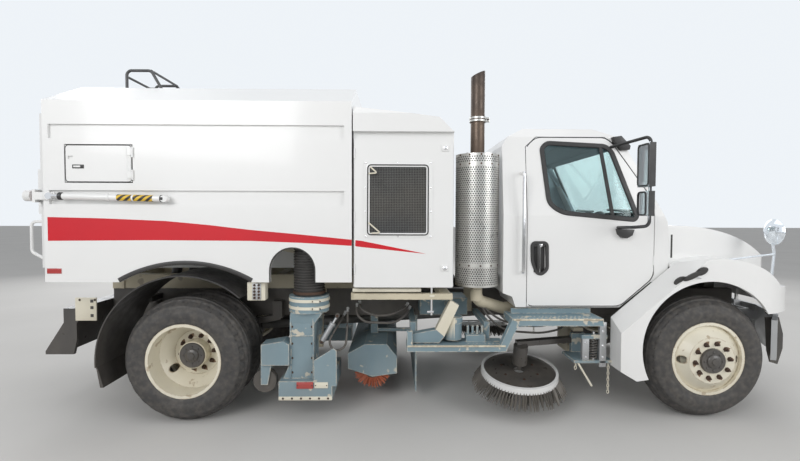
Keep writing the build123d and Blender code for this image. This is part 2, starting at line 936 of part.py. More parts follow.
def wing_form(inset, low):
    """The wings and the nose between them down to a height, or the space inside them."""
    arched_plate(
        (bonnet_rear - inset, low),
        [
            (bonnet_rear - inset, 1285 - inset),
            ((x_front + 130, 1349 - inset), (x_front + 600, 1120 - inset)),
            (bonnet_nose - inset, 1075 - inset),
            (bonnet_nose - 25 - inset, low),
        ],
        side_plane(half_width),
        2 * half_width,
    )
    arched_plate(
        (bonnet_rear - inset, -half_width + inset),
        [
            (x_front + 330, -half_width + inset),
            ((x_front + 670, -half_width + 130 + inset), (bonnet_nose - 70 - inset, -640 + inset)),
            (bonnet_nose - inset, -400 + inset),
            (bonnet_nose - inset, 400 - inset),
            (bonnet_nose - 70 - inset, 640 - inset),
            ((x_front + 670, half_width - 130 - inset), (x_front + 330, half_width - inset)),
            (bonnet_rear - inset, half_width - inset),
        ],
        Plane.XY.offset(500),
        1300,
        mode=Mode.INTERSECT,
    )


def fall_away(depth):
    """Takes off what lies above the falling tops of the rear wings, or above a surface below them."""
    wing_edge = Vector(door_hinge_x - 25, 0, 1128) - Vector(x_front - 694, 0, 902)
    foot = Vector(x_front - 694, 0, 902 - depth) - wing_edge
    for side in (-1, 1):
        with BuildSketch(cross_plane(foot.X)) as slope:
            with BuildLine():
                Polyline(
                    (side * wing_inner, foot.Z),
                    (side * (half_width + 5), foot.Z - wing_drop),
                    (side * (half_width + 5), foot.Z + 600),
                    (side * wing_inner, foot.Z + 600),
                    close=True,
                )
            make_face()
        extrude(slope.sketch, amount=4 * wing_edge.length, dir=wing_edge.normalized(), mode=Mode.SUBTRACT)


with BuildPart() as bonnet_outer:
    bonnet_form(0, nose_bottom)
with BuildPart() as bonnet_space:
    bonnet_form(bonnet_wall, space_low)
with BuildPart() as wing_outer:
    wing_form(0, nose_bottom)
with BuildPart() as wing_space:
    wing_form(bonnet_wall, space_low)
    fall_away(bonnet_wall + 10)
with BuildPart() as hood:
    add(bonnet_outer.part)
    add(wing_outer.part)
    # Rear of the wings, outboard of the cab and falling away outwards
    for side in (-1, 1):
        plate(
            [
                (bonnet_rear + 60, wing_bottom + 60),
                (bonnet_rear + 60, 1290),
                (bonnet_rear, 1285),
                (door_hinge_x - 25, 1128),
                (x_front - 694, 902),
                (x_front - 768, 893),
                (x_front - 768, wing_bottom + 80),
                (x_front - 635, wing_bottom),
            ],
            side_plane(half_width if side > 0 else -wing_inner),
            half_width - wing_inner,
        )
    # Their tops fall away, so that the doors swing clear above them
    fall_away(0)
    add(bonnet_space.part, mode=Mode.SUBTRACT)
    add(wing_space.part, mode=Mode.SUBTRACT)
    # Wheel arches: a lip at the outside and a wider space behind it
    rod((arch_x, -half_width - 5, arch_z), (arch_x, half_width + 5, arch_z), arch_radius, mode=Mode.SUBTRACT)
    lip = half_width - 60
    for side in (-1, 1):
        rod(
            (x_front - 40, side * 560, tyre_radius),
            (x_front - 40, side * lip, tyre_radius),
            wheelhouse_radius,
            mode=Mode.SUBTRACT,
        )
    # Arms down to the tilt pins
    for side in (-1, 1):
        plate(
            [
                (hood_pivot_x - 20, hood_pivot_z - 14),
                (hood_pivot_x + 12, hood_pivot_z - 14),
                (hood_pivot_x + 12, hood_pivot_z + 10),
                (hood_pivot_x + 4, hood_pivot_z + 60),
                (hood_pivot_x + 24, hood_pivot_z + 130),
                (hood_pivot_x - 20, hood_pivot_z + 130),
            ],
            side_plane(side * hood_arm_half + 10),
            20,
        )
        rod(
            (hood_pivot_x, side * hood_arm_half - 20, hood_pivot_z),
            (hood_pivot_x, side * hood_arm_half + 20, hood_pivot_z),
            hood_pin + 0.1,
            mode=Mode.SUBTRACT,
        )
keep(hood.part, "hood")

# Headlamps, which follow the round corners of the nose
lamp_proud = 14.0
lamp_reach = (half_width - 590, half_width - 320)
lamp_level = (925.0, 1050.0)
with BuildPart() as lamp_room:
    for side in (-1, 1):
        block((x_front + 640, nose), (side * lamp_reach[0], side * lamp_reach[1]), lamp_level)
with BuildPart() as headlamps:
    wing_form(-lamp_proud, nose_bottom)
    add(lamp_room.part, mode=Mode.INTERSECT)
    add(wing_outer.part, mode=Mode.SUBTRACT)
    add(bonnet_outer.part, mode=Mode.SUBTRACT)
keep(headlamps.part, "headlamps")

# Grille with its surround, on the bonnet's nose
with BuildPart() as grille:
    plate(
        [(-360, 960), (-400, 1210), (400, 1210), (360, 960)],
        cross_plane(bonnet_nose - 30),
        46,
    )
    for z in (1000, 1050, 1100, 1150):
        block((bonnet_nose + 10, bonnet_nose + 26), (-330, 330), (z, z + 18))
    add(bonnet_outer.part, mode=Mode.SUBTRACT)
    add(wing_outer.part, mode=Mode.SUBTRACT)
keep(grille.part, "grille")

# Round convex mirror that looks back, on a stand with a brace on each wing
ball_z = 1565.0
ball_x = x_front + 634.0
ball_y = half_width - 235.0
ball_disc = 112.0
dome_radius = 150.0
stand_tube = 11.0
brace_z = 1374.0
with BuildPart() as dome:
    with Locations((ball_x + dome_radius - 30, -ball_y, ball_z)):
        Sphere(dome_radius)
    rod((ball_x - 40, -ball_y, ball_z), (ball_x + 26, -ball_y, ball_z), ball_disc, mode=Mode.INTERSECT)
with BuildPart() as hood_mirrors:
    add(dome.part)
    pipe(
        [
            (ball_x + 14, -ball_y, ball_z - ball_disc + 12),
            (ball_x + 30, -ball_y, brace_z),
            (ball_x + 8, -ball_y, 1103),
        ],
        120,
        stand_tube,
    )
    rod((ball_x + 30, -ball_y, brace_z), (x_front + 120, -half_width + 66, 1338), 8)
    mirror(about=Plane.XZ)
    add(hood.part, mode=Mode.SUBTRACT)
keep(hood_mirrors.part, "hood_mirrors")

# Steps: a board below each door and a dropped tray behind it
step_y = (half_width - 260.0, half_width - 20.0)
step_front = x_front - 905.0
step_rear = x_front - 1650.0
tray_front = x_front - 1700.0
tray_rear = x_front - 2510.0
with BuildPart() as cab_steps:
    block((step_rear, step_front), (-step_y[1], -step_y[0] + 70), (800, 860))
    block((step_rear + 40, step_front - 20), (-step_y[0] - 30, -step_y[0] - 10), (855, 905))
    for x in (step_rear + 150, step_front - 150):
        block((x - 30, x + 30), (-step_y[0], -rail_outer), (735, 790))
        block((x - 30, x + 30), (-step_y[0], -step_y[0] + 60), (735, 805))
    block((tray_rear, tray_front), (-step_y[1], -step_y[0]), (590, 640))
    plate(
        [
            (tray_front - 70, 590),
            (tray_front, 590),
            (step_rear + 70, 860),
            (step_rear, 860),
        ],
        side_plane(-step_y[1] + 60),
        60,
    )
    block((tray_rear, tray_rear + 45), (-step_y[1], -step_y[1] + 45), (590, 760))
    for x in (tray_rear + 60, tray_front - 120):
        block((x - 25, x + 25), (-step_y[0] - 40, -rail_outer), (745, 790))
        block((x - 25, x + 25), (-step_y[0] - 40, -step_y[0]), (600, 790))
    mirror(about=Plane.XZ)
keep(cab_steps.part, "cab_steps")

# Side tank on the left, hydraulic filter, fill pipe and valve block on the right
with BuildPart() as side_gear:
    block((tray_rear + 130, tray_front - 190), (rail_outer, 900), (660, 950))
    block((tray_rear + 130, tray_front - 250), (-rail_outer, -760), (800, 950))
    rod((x_front - 2120, -1040, 660), (x_front - 2120, -1040, 800), 78)
    rod((x_front - 2120, -1040, 800), (x_front - 2120, -1040, 850), 84)
    rod((x_front - 2120, -1040, 826), (x_front - 2120, -750, 860), 24)
    plate(
        [
            (x_front - 2480, 720),
            (x_front - 2480, 650),
            (x_front - 2240, 650),
            (x_front - 2200, 700),
            (x_front - 2080, 960),
            (x_front - 2150, 1000),
            (x_front - 2270, 760),
        ],
        side_plane(-1065),
        80,
    )
    rod((x_front - 2130, -1090, 965), (x_front - 2130, -750, 900), 22)
    block((x_front - 2010, x_front - 1850), (-1090, -1000), (640, 700))
    for x in (x_front - 1990, x_front - 1950, x_front - 1910, x_front - 1870):
        rod((x, -1045, 699), (x, -1045, 770), 10)
keep(side_gear.part, "side_gear")

# Exhaust: silencer behind the cab, its stack and the pipe from below the cab
stack_x = x_front - 1895.0
stack_y = half_width - 320.0
silencer = 150.0
stack_top = 2960.0
with BuildPart() as exhaust_stack:
    rod((stack_x, -stack_y, 1120), (stack_x, -stack_y, 2180), silencer)
    rod((stack_x, -stack_y, 2180), (stack_x, -stack_y, stack_top), 60)
    rod((stack_x, -stack_y, 2500), (stack_x, -stack_y, 2550), 68)
    with BuildSketch(side_plane(-stack_y + 100)) as slant:
        with BuildLine():
            Polyline(
                (stack_x - 100, stack_top - 90),
                (stack_x + 100, stack_top),
                (stack_x + 100, stack_top + 60),
                (stack_x - 100, stack_top + 60),
                close=True,
            )
        make_face()
    extrude(slant.sketch, amount=200, mode=Mode.SUBTRACT)
    rod((stack_x, -stack_y, 2600), (stack_x, -stack_y, stack_top + 20), 52, mode=Mode.SUBTRACT)
    pipe(
        [
            (stack_x, -stack_y, 1125),
            (stack_x, -stack_y, 960),
            (cab_back + 60, -stack_y + 120, 865),
            (cab_back + 330, -stack_y + 300, 860),
        ],
        90,
        52,
    )
    # Carrier from the frame rail
    block((stack_x - 40, stack_x + 40), (-stack_y - 60, -rail_outer), (1060, 1120))
    block((stack_x - 40, stack_x + 40), (-rail_outer - 16, -rail_outer), (rail_bottom + 40, 1120))
    rod((stack_x, -stack_y, 955), (stack_x, -stack_y, 1062), 52)
keep(exhaust_stack.part, "exhaust_stack")

# Heat shield wrapped round the outer half of the silencer, on two straps
shield_radius = 186.0
with BuildPart() as heat_shield:
    rod((stack_x, -stack_y, 1095), (stack_x, -stack_y, 2220), shield_radius)
    rod((stack_x, -stack_y, 1090), (stack_x, -stack_y, 2230), shield_radius - 5, mode=Mode.SUBTRACT)
    block((stack_x - 300, stack_x + 300), (-stack_y + 90, -stack_y + 300), (1000, 2300), mode=Mode.SUBTRACT)
    for z in (1300, 2000):
        with BuildSketch(Plane.XY.offset(z)) as strap:
            with Locations((stack_x, -stack_y)):
                Circle(shield_radius - 2)
                Circle(silencer + 0.2, mode=Mode.SUBTRACT)
                with Locations((0, 290)):
                    Rectangle(600, 400, mode=Mode.SUBTRACT)
        extrude(strap.sketch, amount=30)
keep(heat_shield.part, "heat_shield")

# Rear wheel fenders: bent sheets over the twin wheels, each on two brackets
fender_radius = 700.0
fender_wall = 10.0
fender_y = (590.0, half_width - 5.0)
fender_foot = tyre_radius - 45.0
with BuildPart() as rear_fenders:
    rod((x_rear, -fender_y[0], tyre_radius), (x_rear, -fender_y[1], tyre_radius), fender_radius)
    rod(
        (x_rear, -fender_y[0] + 1, tyre_radius),
        (x_rear, -fender_y[1] - 1, tyre_radius),
        fender_radius - fender_wall,
        mode=Mode.SUBTRACT,
    )
    block(
        (x_rear - fender_radius - 1, x_rear + fender_radius + 1),
        (-fender_y[1] - 1, -fender_y[0] + 1),
        (-fender_radius, fender_foot),
        mode=Mode.SUBTRACT,
    )
    block(
        (x_rear, x_rear + fender_radius + 1),
        (-fender_y[1] - 1, -fender_y[0] + 1),
        (fender_foot - 1, tyre_radius + 520),
        mode=Mode.SUBTRACT,
    )
    plate(
        [
            (x_rear - fender_radius, fender_foot + 1),
            (x_rear - fender_radius + 10, fender_foot + 1),
            (x_rear - fender_radius + 58, 300),
            (x_rear - fender_radius + 30, 300),
        ],
        side_plane(-fender_y[0] - 20),
        fender_y[1] - fender_y[0] - 40,
    )
    for x, low, high in ((x_rear - 560, 890, 940), (x_rear + 440, 930, 1045)):
        block((x - 20, x + 20), (-fender_y[0] - 40, -rail_outer), (low, high))
    mirror(about=Plane.XZ)
keep(rear_fenders.part, "rear_fenders")

# Rear bumper: a beam behind the frame with a flared sheet below it
with BuildPart() as rear_bumper:
    block((rail_rear - 130, rail_rear - 10), (-930, 930), (770, 890))
    plate(
        [
            (rail_rear - 125, 775),
            (rail_rear - 290, 520),
            (rail_rear - 290, 492),
            (rail_rear - 50, 492),
            (rail_rear - 20, 620),
            (rail_rear - 20, 775),
        ],
        side_plane(930),
        1860,
    )
    block((rail_rear - 160, rail_rear - 5), (-900, 900), (485, 700), mode=Mode.SUBTRACT)
    for y in (-rail_outer + 40, rail_outer - 40):
        block((rail_rear - 12, rail_rear), (y - 40, y + 40), (rail_bottom, 890))
keep(rear_bumper.part, "rear_bumper")

# Subframe on the rails: beams, hopper hinge pins, rests and carriers of the sweeping gear
beam_y = (330.0, 430.0)
beam_top_z = 1120.0
hinge_pin = 22.0
lug_y = (470.0, 530.0)
post_y = (470.0, 505.0)
arm_pin = 20.0
arm_low, arm_high = 450.0, 650.0
with BuildPart() as sweeper_frame:
    block((rail_rear, housing_front), (-beam_y[1], -beam_y[0]), (rail_top, beam_top_z))
    for x in (housing_front - 60, housing_rear + 20, x_rear + 560, rail_rear + 60):
        block((x - 45, x + 45), (-beam_y[0] - 5, 5), (rail_top + 20, beam_top_z - 10))
    # Hinge plate and pin
    block((hinge_x - 50, hinge_x + 60), (-beam_y[1] - 14, -beam_y[1]), (rail_top, hinge_z + 40))
    rod((hinge_x, -beam_y[1] - 5, hinge_z), (hinge_x, -lug_y[1] - 20, hinge_z), hinge_pin)
    # Rests under the hopper's sills
    for x in (hopper_front - 120, x_rear + 300):
        block((x - 50, x + 50), (-lug_y[1], -beam_y[1]), (beam_top_z - 60, beam_top_z + 70))
    # Side bars behind the steps, below the engine housing
    block((housing_rear, housing_front), (-half_width + 60, -half_width + 110), (1010, 1060))
    for x in (housing_front - 60, housing_rear + 20):
        block((x - 45, x + 45), (-half_width + 105, -beam_y[1]), (1000, 1060))
    # Guide post of the nozzle
    block((nozzle_x - 60, nozzle_x + 60), (-post_y[0], -rail_outer), (rail_bottom + 30, rail_top))
    block((nozzle_x - 35, nozzle_x + 35), (-post_y[1], -post_y[0]), (430, rail_top))
    # Carriage of the gutter broom's arm
    block((arm_pivot_x - 55, arm_pivot_x + 55), (-arm_pivot_y + 60, -rail_outer), (430, 690))
    block((arm_pivot_x - 55, arm_pivot_x + 55), (-rail_outer - 40, -rail_outer), (680, 900))
    for low, high in ((arm_low - 40, arm_low - 6), (arm_high + 6, arm_high + 40)):
        block((arm_pivot_x - 45, arm_pivot_x + 45), (-arm_pivot_y - 40, -arm_pivot_y + 70), (low, high))
    rod(
        (arm_pivot_x, -arm_pivot_y, arm_low - 20),
        (arm_pivot_x, -arm_pivot_y, arm_high + 20),
        arm_pin,
    )
    mirror(about=Plane.XZ)
keep(sweeper_frame.part, "sweeper_frame")

# Hopper: the roof slopes down to its eaves, the floor steps up over the suction hoses
hopper_outer = [
    (-half_width, skirt_bottom),
    (-half_width, eave_height),
    (-ridge_half, ridge_height),
    (ridge_half, ridge_height),
    (half_width, eave_height),
    (half_width, skirt_bottom),
]
room_half = half_width - hopper_wall
room_floor = floor_bottom + floor_wall
hopper_room = [
    (-room_half, room_floor),
    (-room_half, eave_height - 40),
    (-ridge_half + 20, ridge_height - 60),
    (ridge_half - 20, ridge_height - 60),
    (room_half, eave_height - 40),
    (room_half, room_floor),
]
sill_y = (452.0, 550.0)
sill_bottom = 1200.0
skirt_inner = half_width - skirt_wall
front_floor = front_floor_bottom + floor_wall
rear_opening_half = half_width - 120.0
rear_opening_top = door_top - 60
door_hinge_rear = hopper_rear - 43.0
door_hinge_z = door_top + 32.0
door_hinge_pin = 10.0
door_hinge_y = 730.0
groove_depth = 22.0
grooves = [(2300.0, 2410.0), (1780.0, 1890.0)]
cylinder_x = x_rear - 99.0
cylinder_z = 1824.0
cylinder_y = half_width + 32.0
cylinder_pin = 10.0
ram_pin_x = hinge_x + 480.0
ram_pin_z = 1300.0
ram_lug_gap = 66.0
panel_x = (hopper_rear + 178.0, hopper_rear + 697.0)
panel_z = (1957.0, 2245.0)
panel_gap = 8.0
panel_hinge_x = panel_x[1] + 10.0
panel_hinge_y = half_width + 9.0
panel_pin = 4.0
panel_knuckles = [(panel_z[0] + 30, panel_z[0] + 80), (panel_z[1] - 80, panel_z[1] - 30)]
arch_front = x_rear + 566.0
arch_rear = x_rear - 488.0
arch_top = 1300.0
hose_cut = (nozzle_x - 280.0, nozzle_x + 80.0)
hose_cut_top = 1437.0
inlet_radius = 120.0
with BuildPart() as hopper_shell:
    plate(hopper_outer, cross_plane(hopper_rear), hopper_front - hopper_rear)
    plate(
        hopper_room,
        cross_plane(hopper_rear + hopper_wall),
        hopper_front - hopper_rear - 2 * hopper_wall,
        mode=Mode.SUBTRACT,
    )
    # The raised front floor and the riser that leads up to it
    block((floor_step_x, hopper_front - 30), (-room_half - 5, room_half + 5), (room_floor - 5, front_floor))
    block((floor_step_x - floor_wall, floor_step_x), (-room_half - 5, room_half + 5), (room_floor - 5, front_floor))
    # Space below the floors, open to the ground between the skirts
    block(
        (hopper_rear - 1, hopper_front + 1),
        (-skirt_inner, skirt_inner),
        (skirt_bottom - 1, floor_bottom),
        mode=Mode.SUBTRACT,
    )
    block(
        (floor_step_x, hopper_front + 1),
        (-skirt_inner, skirt_inner),
        (skirt_bottom - 1, front_floor_bottom),
        mode=Mode.SUBTRACT,
    )
    # Rear opening
    block(
        (hopper_rear - 1, hopper_rear + hopper_wall + 1),
        (-rear_opening_half, rear_opening_half),
        (room_floor, rear_opening_top),
        mode=Mode.SUBTRACT,
    )
    # Cuts in the skirts over the wheels and in front of the hoses
    arched_plate(
        (arch_rear, skirt_bottom - 1),
        [(((arch_rear + arch_front) / 2, arch_top), (arch_front, skirt_bottom - 1))],
        side_plane(half_width + 1),
        2 * half_width + 2,
        mode=Mode.SUBTRACT,
    )
    for side in (-1, 1):
        hose_cut_half = (hose_cut[1] - hose_cut[0]) / 2
        arched_plate(
            (hose_cut[0], skirt_bottom - 1),
            [
                (hose_cut[0], hose_cut_top - hose_cut_half),
                (
                    (hose_cut[0] + hose_cut_half, hose_cut_top),
                    (hose_cut[1], hose_cut_top - hose_cut_half),
                ),
                (hose_cut[1], skirt_bottom - 1),
            ],
            side_plane(half_width + 1 if side > 0 else -skirt_inner + 1),
            skirt_wall + 2,
            mode=Mode.SUBTRACT,
        )
        # Pressed grooves along the side
        for low, high in grooves:
            block(
                (hopper_rear + 45, hopper_front - 60),
                (side * (half_width - groove_depth), side * (half_width + 1)),
                (low, high),
                mode=Mode.SUBTRACT,
            )
        # Sills on both sides of the subframe, deeper below the raised floor
        block(
            (hopper_rear + 5, hopper_front - 5),
            (side * sill_y[0], side * sill_y[1]),
            (sill_bottom, floor_bottom + 5),
        )
        block(
            (floor_step_x + 1, hopper_front - 5),
            (side * sill_y[0], side * sill_y[1]),
            (floor_bottom, front_floor_bottom + 5),
        )
        # Hinge lug
        block(
            (hinge_x - 44, hinge_x + 44),
            (side * lug_y[0], side * lug_y[1]),
            (hinge_z - 40, sill_bottom + 5),
        )
        rod(
            (hinge_x, side * sill_y[0], hinge_z),
            (hinge_x, side * sill_y[1], hinge_z),
            hinge_pin + 0.1,
            mode=Mode.SUBTRACT,
        )
        # Ears for the lift ram's rod
        for ear in (-1, 1):
            ear_in = side * ram_half + ear * ram_lug_gap / 2
            block(
                (ram_pin_x - 45, ram_pin_x + 45),
                (ear_in, ear_in + ear * 16),
                (ram_pin_z - 45, floor_bottom + 5),
            )
        # Inlet over the hose
        rod(
            (nozzle_x, side * nozzle_y, front_floor_bottom - 1),
            (nozzle_x, side * nozzle_y, front_floor + 1),
            inlet_radius,
            mode=Mode.SUBTRACT,
        )
        # Pivot of the rear door's cylinder
        rod(
            (cylinder_x, side * (half_width - 40), cylinder_z),
            (cylinder_x, side * (cylinder_y + 28), cylinder_z),
            cylinder_pin,
        )
        # Hinge of the rear door: a pin between two ears
        for y in (door_hinge_y - 44, door_hinge_y + 34):
            block(
                (door_hinge_rear - 16, hopper_rear + 1),
                (side * y, side * (y + 10)),
                (door_hinge_z - 14, door_hinge_z + 40),
            )
        rod(
            (door_hinge_rear, side * (door_hinge_y - 40), door_hinge_z),
            (door_hinge_rear, side * (door_hinge_y + 40), door_hinge_z),
            door_hinge_pin,
        )
    # Opening of the inspection door on the right
    block(
        (panel_x[0] - panel_gap, panel_x[1] + panel_gap),
        (-half_width - 1, -room_half + 1),
        (panel_z[0] - panel_gap, panel_z[1] + panel_gap),
        mode=Mode.SUBTRACT,
    )
    for low, high in panel_knuckles:
        for z in (low - 14, high + 2):
            block(
                (panel_hinge_x - 6, panel_hinge_x + 8),
                (-panel_hinge_y - 6, -half_width + 2),
                (z, z + 12),
            )
        rod((panel_hinge_x, -panel_hinge_y, low - 8), (panel_hinge_x, -panel_hinge_y, high + 8), panel_pin)
keep(hopper_shell.part, "hopper_shell")

# Inspection door, hinged at its front edge
with BuildPart() as inspection_door:
    block(panel_x, (-half_width, -half_width + 30), panel_z)
    block(
        (panel_x[0] + 20, panel_x[0] + 60),
        (-half_width - 1, -half_width + 12),
        (panel_z[1] - 110, panel_z[1] - 85),
        mode=Mode.SUBTRACT,
    )
    for low, high in panel_knuckles:
        block((panel_x[1] - 30, panel_hinge_x), (-panel_hinge_y - 2, -half_width + 1), (low, high))
        rod((panel_hinge_x, -panel_hinge_y, low), (panel_hinge_x, -panel_hinge_y, high), 8)
        rod(
            (panel_hinge_x, -panel_hinge_y, low - 1),
            (panel_hinge_x, -panel_hinge_y, high + 1),
            panel_pin + 0.1,
            mode=Mode.SUBTRACT,
        )
    # Nothing behind the knuckles may reach into the hopper's wall
    block(
        (panel_x[1], panel_hinge_x + 10),
        (-half_width, -half_width + 5),
        (panel_z[0], panel_z[1]),
        mode=Mode.SUBTRACT,
    )
keep(inspection_door.part, "inspection_door")

# Guard of bent tube round the beacon on the hopper's roof
guard_half = 270.0
guard_rear = hopper_rear + 127.0
guard_top = ridge_height + 300.0
with BuildPart() as beacon_guard:
    for y in (-guard_half, guard_half):
        pipe(
            [
                (guard_rear, y, ridge_height),
                (guard_rear, y, guard_top),
                (guard_rear + 240, y, guard_top),
                (guard_rear + 420, y, ridge_height - 20),
            ],
            50,
            14,
        )
    block(
        (guard_rear - 20, guard_rear + 460),
        (-guard_half - 20, guard_half + 20),
        (ridge_height - 40, ridge_height),
        mode=Mode.SUBTRACT,
    )
    rod((guard_rear, -guard_half, guard_top - 60), (guard_rear, guard_half, guard_top - 60), 12)
    rod((guard_rear + 240, -guard_half, guard_top), (guard_rear + 240, guard_half, guard_top), 12)
    rod((guard_rear + 140, 0, ridge_height), (guard_rear + 140, 0, ridge_height + 30), 90)
    rod((guard_rear + 140, 0, ridge_height + 30), (guard_rear + 140, 0, ridge_height + 190), 70)
keep(beacon_guard.part, "beacon_guard")

# Rear door with its frame, ribs, lamps, grab loops and the arms to its cylinders
door_front = hopper_rear - rear_seal_gap
door_back = door_front - rear_door_thickness
door_half = half_width - 50.0
eye_x = cylinder_x - 902.0
eye_z = cylinder_z + 20.0
eye_outer = 26.0
lamp_y = (door_half - 130.0, door_half - 20.0)
lamp_mid = (lamp_y[0] + lamp_y[1]) / 2
with BuildPart() as rear_door:
    block((door_back + 28, door_front), (-door_half, door_half), (door_low, door_top))
    for low, high in ((door_low, door_low + 70), (door_top - 70, door_top), (1620, 1680), (2060, 2120)):
        block((door_back, door_back + 30), (-door_half, door_half), (low, high))
    for side in (-1, 1):
        block((door_back, door_back + 30), (side * (door_half - 70), side * door_half), (door_low, door_top))
        # Hinge arm with a bored eye
        block(
            (door_hinge_rear - 18, door_hinge_rear + 18),
            (side * (door_hinge_y - 26), side * (door_hinge_y + 26)),
            (door_top - 60, door_hinge_z),
        )
        rod(
            (door_hinge_rear, side * (door_hinge_y - 26), door_hinge_z),
            (door_hinge_rear, side * (door_hinge_y + 26), door_hinge_z),
            22,
        )
        rod(
            (door_hinge_rear, side * (door_hinge_y - 27), door_hinge_z),
            (door_hinge_rear, side * (door_hinge_y + 27), door_hinge_z),
            door_hinge_pin + 0.1,
            mode=Mode.SUBTRACT,
        )
        # Arm round the hopper's corner to the cylinder's eye
        block(
            (door_back - 20, door_back + 2),
            (side * (door_half - 60), side * (half_width + 16)),
            (eye_z - 50, eye_z + 50),
        )
        block(
            (door_back - 20, eye_x + 30),
            (side * (half_width + 6), side * (half_width + 16)),
            (eye_z - 30, eye_z + 30),
        )
        # Lamp box, work light and grab loop
        block((door_back - 36, door_back + 1), (side * lamp_y[0], side * lamp_y[1]), (1700, 1810))
        block((door_back - 36, door_back + 1), (side * lamp_y[0], side * lamp_y[1]), (1900, 2060))
        rod((door_back + 1, side * lamp_mid, 1850), (door_back - 176, side * lamp_mid, 1850), 12)
        rod((door_back - 120, side * lamp_mid, 1850), (door_back - 176, side * lamp_mid, 1850), 45)
        pipe(
            [
                (door_back + 5, side * lamp_mid, 1640),
                (door_back - 140, side * lamp_mid, 1640),
                (door_back - 140, side * lamp_mid, 1390),
                (door_back + 5, side * lamp_mid, 1310),
            ],
            40,
            12,
        )
keep(rear_door.part, "rear_door")

# Cylinders of the rear door, one beside each wall of the hopper
barrel_length = 823.0
barrel_radius = 24.0
door_rod_radius = 14.0
door_rod_length = 862.0
closed_length = ((cylinder_x - eye_x) ** 2 + (eye_z - cylinder_z) ** 2) ** 0.5
barrel_axis = Vector(eye_x - cylinder_x, 0, eye_z - cylinder_z).normalized()
with BuildPart() as door_cylinder_barrels:
    for side in (-1, 1):
        foot = Vector(cylinder_x, side * cylinder_y, cylinder_z)
        rod(foot - Vector(0, 26, 0), foot + Vector(0, 26, 0), 27)
        rod(foot + barrel_axis * 15, foot + barrel_axis * barrel_length, barrel_radius)
        rod(foot + barrel_axis * 430, foot + barrel_axis * 450, barrel_radius + 4)
        rod(
            foot + barrel_axis * 32,
            foot + barrel_axis * (barrel_length + 1),
            door_rod_radius + 0.2,
            mode=Mode.SUBTRACT,
        )
        rod(foot - Vector(0, 27, 0), foot + Vector(0, 27, 0), cylinder_pin + 0.1, mode=Mode.SUBTRACT)
keep(door_cylinder_barrels.part, "door_cylinder_barrels")

with BuildPart() as door_cylinder_rods:
    for side in (-1, 1):
        foot = Vector(cylinder_x, side * cylinder_y, cylinder_z)
        rod(
            foot + barrel_axis * (closed_length - door_rod_length),
            foot + barrel_axis * (closed_length - eye_outer + 4),
            door_rod_radius,
        )
        eye = foot + barrel_axis * closed_length
        rod(eye - Vector(0, 11, 0), eye + Vector(0, 11, 0), eye_outer)
keep(door_cylinder_rods.part, "door_cylinder_rods")

# Lift rams between the rails, from the cross member's ears to the hopper's ears
ram_axis = Vector(ram_pin_x - ram_base_x, 0, ram_pin_z - ram_base_z).normalized()
ram_length = ((ram_pin_x - ram_base_x) ** 2 + (ram_pin_z - ram_base_z) ** 2) ** 0.5
ram_barrel_length = 590.0
ram_rod_length = 610.0
ram_rod_radius = 26.0
with BuildPart() as lift_ram_barrels:
    for side in (-1, 1):
        foot = Vector(ram_base_x, side * ram_half, ram_base_z)
        rod(foot - Vector(0, 48, 0), foot + Vector(0, 48, 0), 40)
        rod(foot + ram_axis * 30, foot + ram_axis * ram_barrel_length, 48)
        rod(
            foot + ram_axis * 44,
            foot + ram_axis * (ram_barrel_length + 1),
            ram_rod_radius + 0.2,
            mode=Mode.SUBTRACT,
        )
        rod(foot - Vector(0, 49, 0), foot + Vector(0, 49, 0), ram_pin + 0.1, mode=Mode.SUBTRACT)
keep(lift_ram_barrels.part, "lift_ram_barrels")

with BuildPart() as lift_ram_rods:
    for side in (-1, 1):
        foot = Vector(ram_base_x, side * ram_half, ram_base_z)
        rod(
            foot + ram_axis * (ram_length - ram_rod_length),
            foot + ram_axis * (ram_length - 20),
            ram_rod_radius,
        )
        eye = foot + ram_axis * ram_length
        rod(eye - Vector(0, 27, 0), eye + Vector(0, 27, 0), 28)
keep(lift_ram_rods.part, "lift_ram_rods")

# Engine housing behind the cab: a deck, end walls and a cap that slopes down at the front
door_zone = half_width - housing_wall
end_wall_half = door_zone - 8
cap_top = 2580.0
cap_edge = 2510.0
cap_front = 2482.0
cap_slope = 60.0
with BuildPart() as engine_housing:
    plate(
        [
            (housing_rear, cap_bottom),
            (housing_rear, cap_top - 8),
            (housing_front - 119, cap_front),
            (housing_front - 7, cap_bottom + 3),
            (housing_front, cap_bottom),
        ],
        side_plane(half_width),
        2 * half_width,
    )
    with BuildSketch(cross_plane(housing_rear - 1)) as slopes:
        with BuildLine():
            Polyline(
                (-half_width - 1, cap_bottom - 5),
                (-half_width - 1, cap_edge),
                (-half_width + cap_slope, cap_top),
                (half_width - cap_slope, cap_top),
                (half_width + 1, cap_edge),
                (half_width + 1, cap_bottom - 5),
                close=True,
            )
        make_face()
    extrude(slopes.sketch, amount=housing_length + 2, mode=Mode.INTERSECT)
    block((housing_rear, housing_front), (-end_wall_half, end_wall_half), (housing_bottom, cap_bottom + 5))
    # Room for the engine, open to both sides between the end walls
    block(
        (housing_rear + housing_wall, housing_front - housing_wall),
        (-end_wall_half - 1, end_wall_half + 1),
        (housing_bottom + 30, housing_door_top - 20),
        mode=Mode.SUBTRACT,
    )
    block(
        (housing_rear + housing_wall, housing_front - housing_wall - 60),
        (-end_wall_half + 60, end_wall_half - 60),
        (housing_door_top - 40, cap_front - 42),
        mode=Mode.SUBTRACT,
    )
    block((housing_rear, housing_front), (-door_zone, door_zone), (housing_bottom, housing_bottom + 30))
keep(engine_housing.part, "engine_housing")

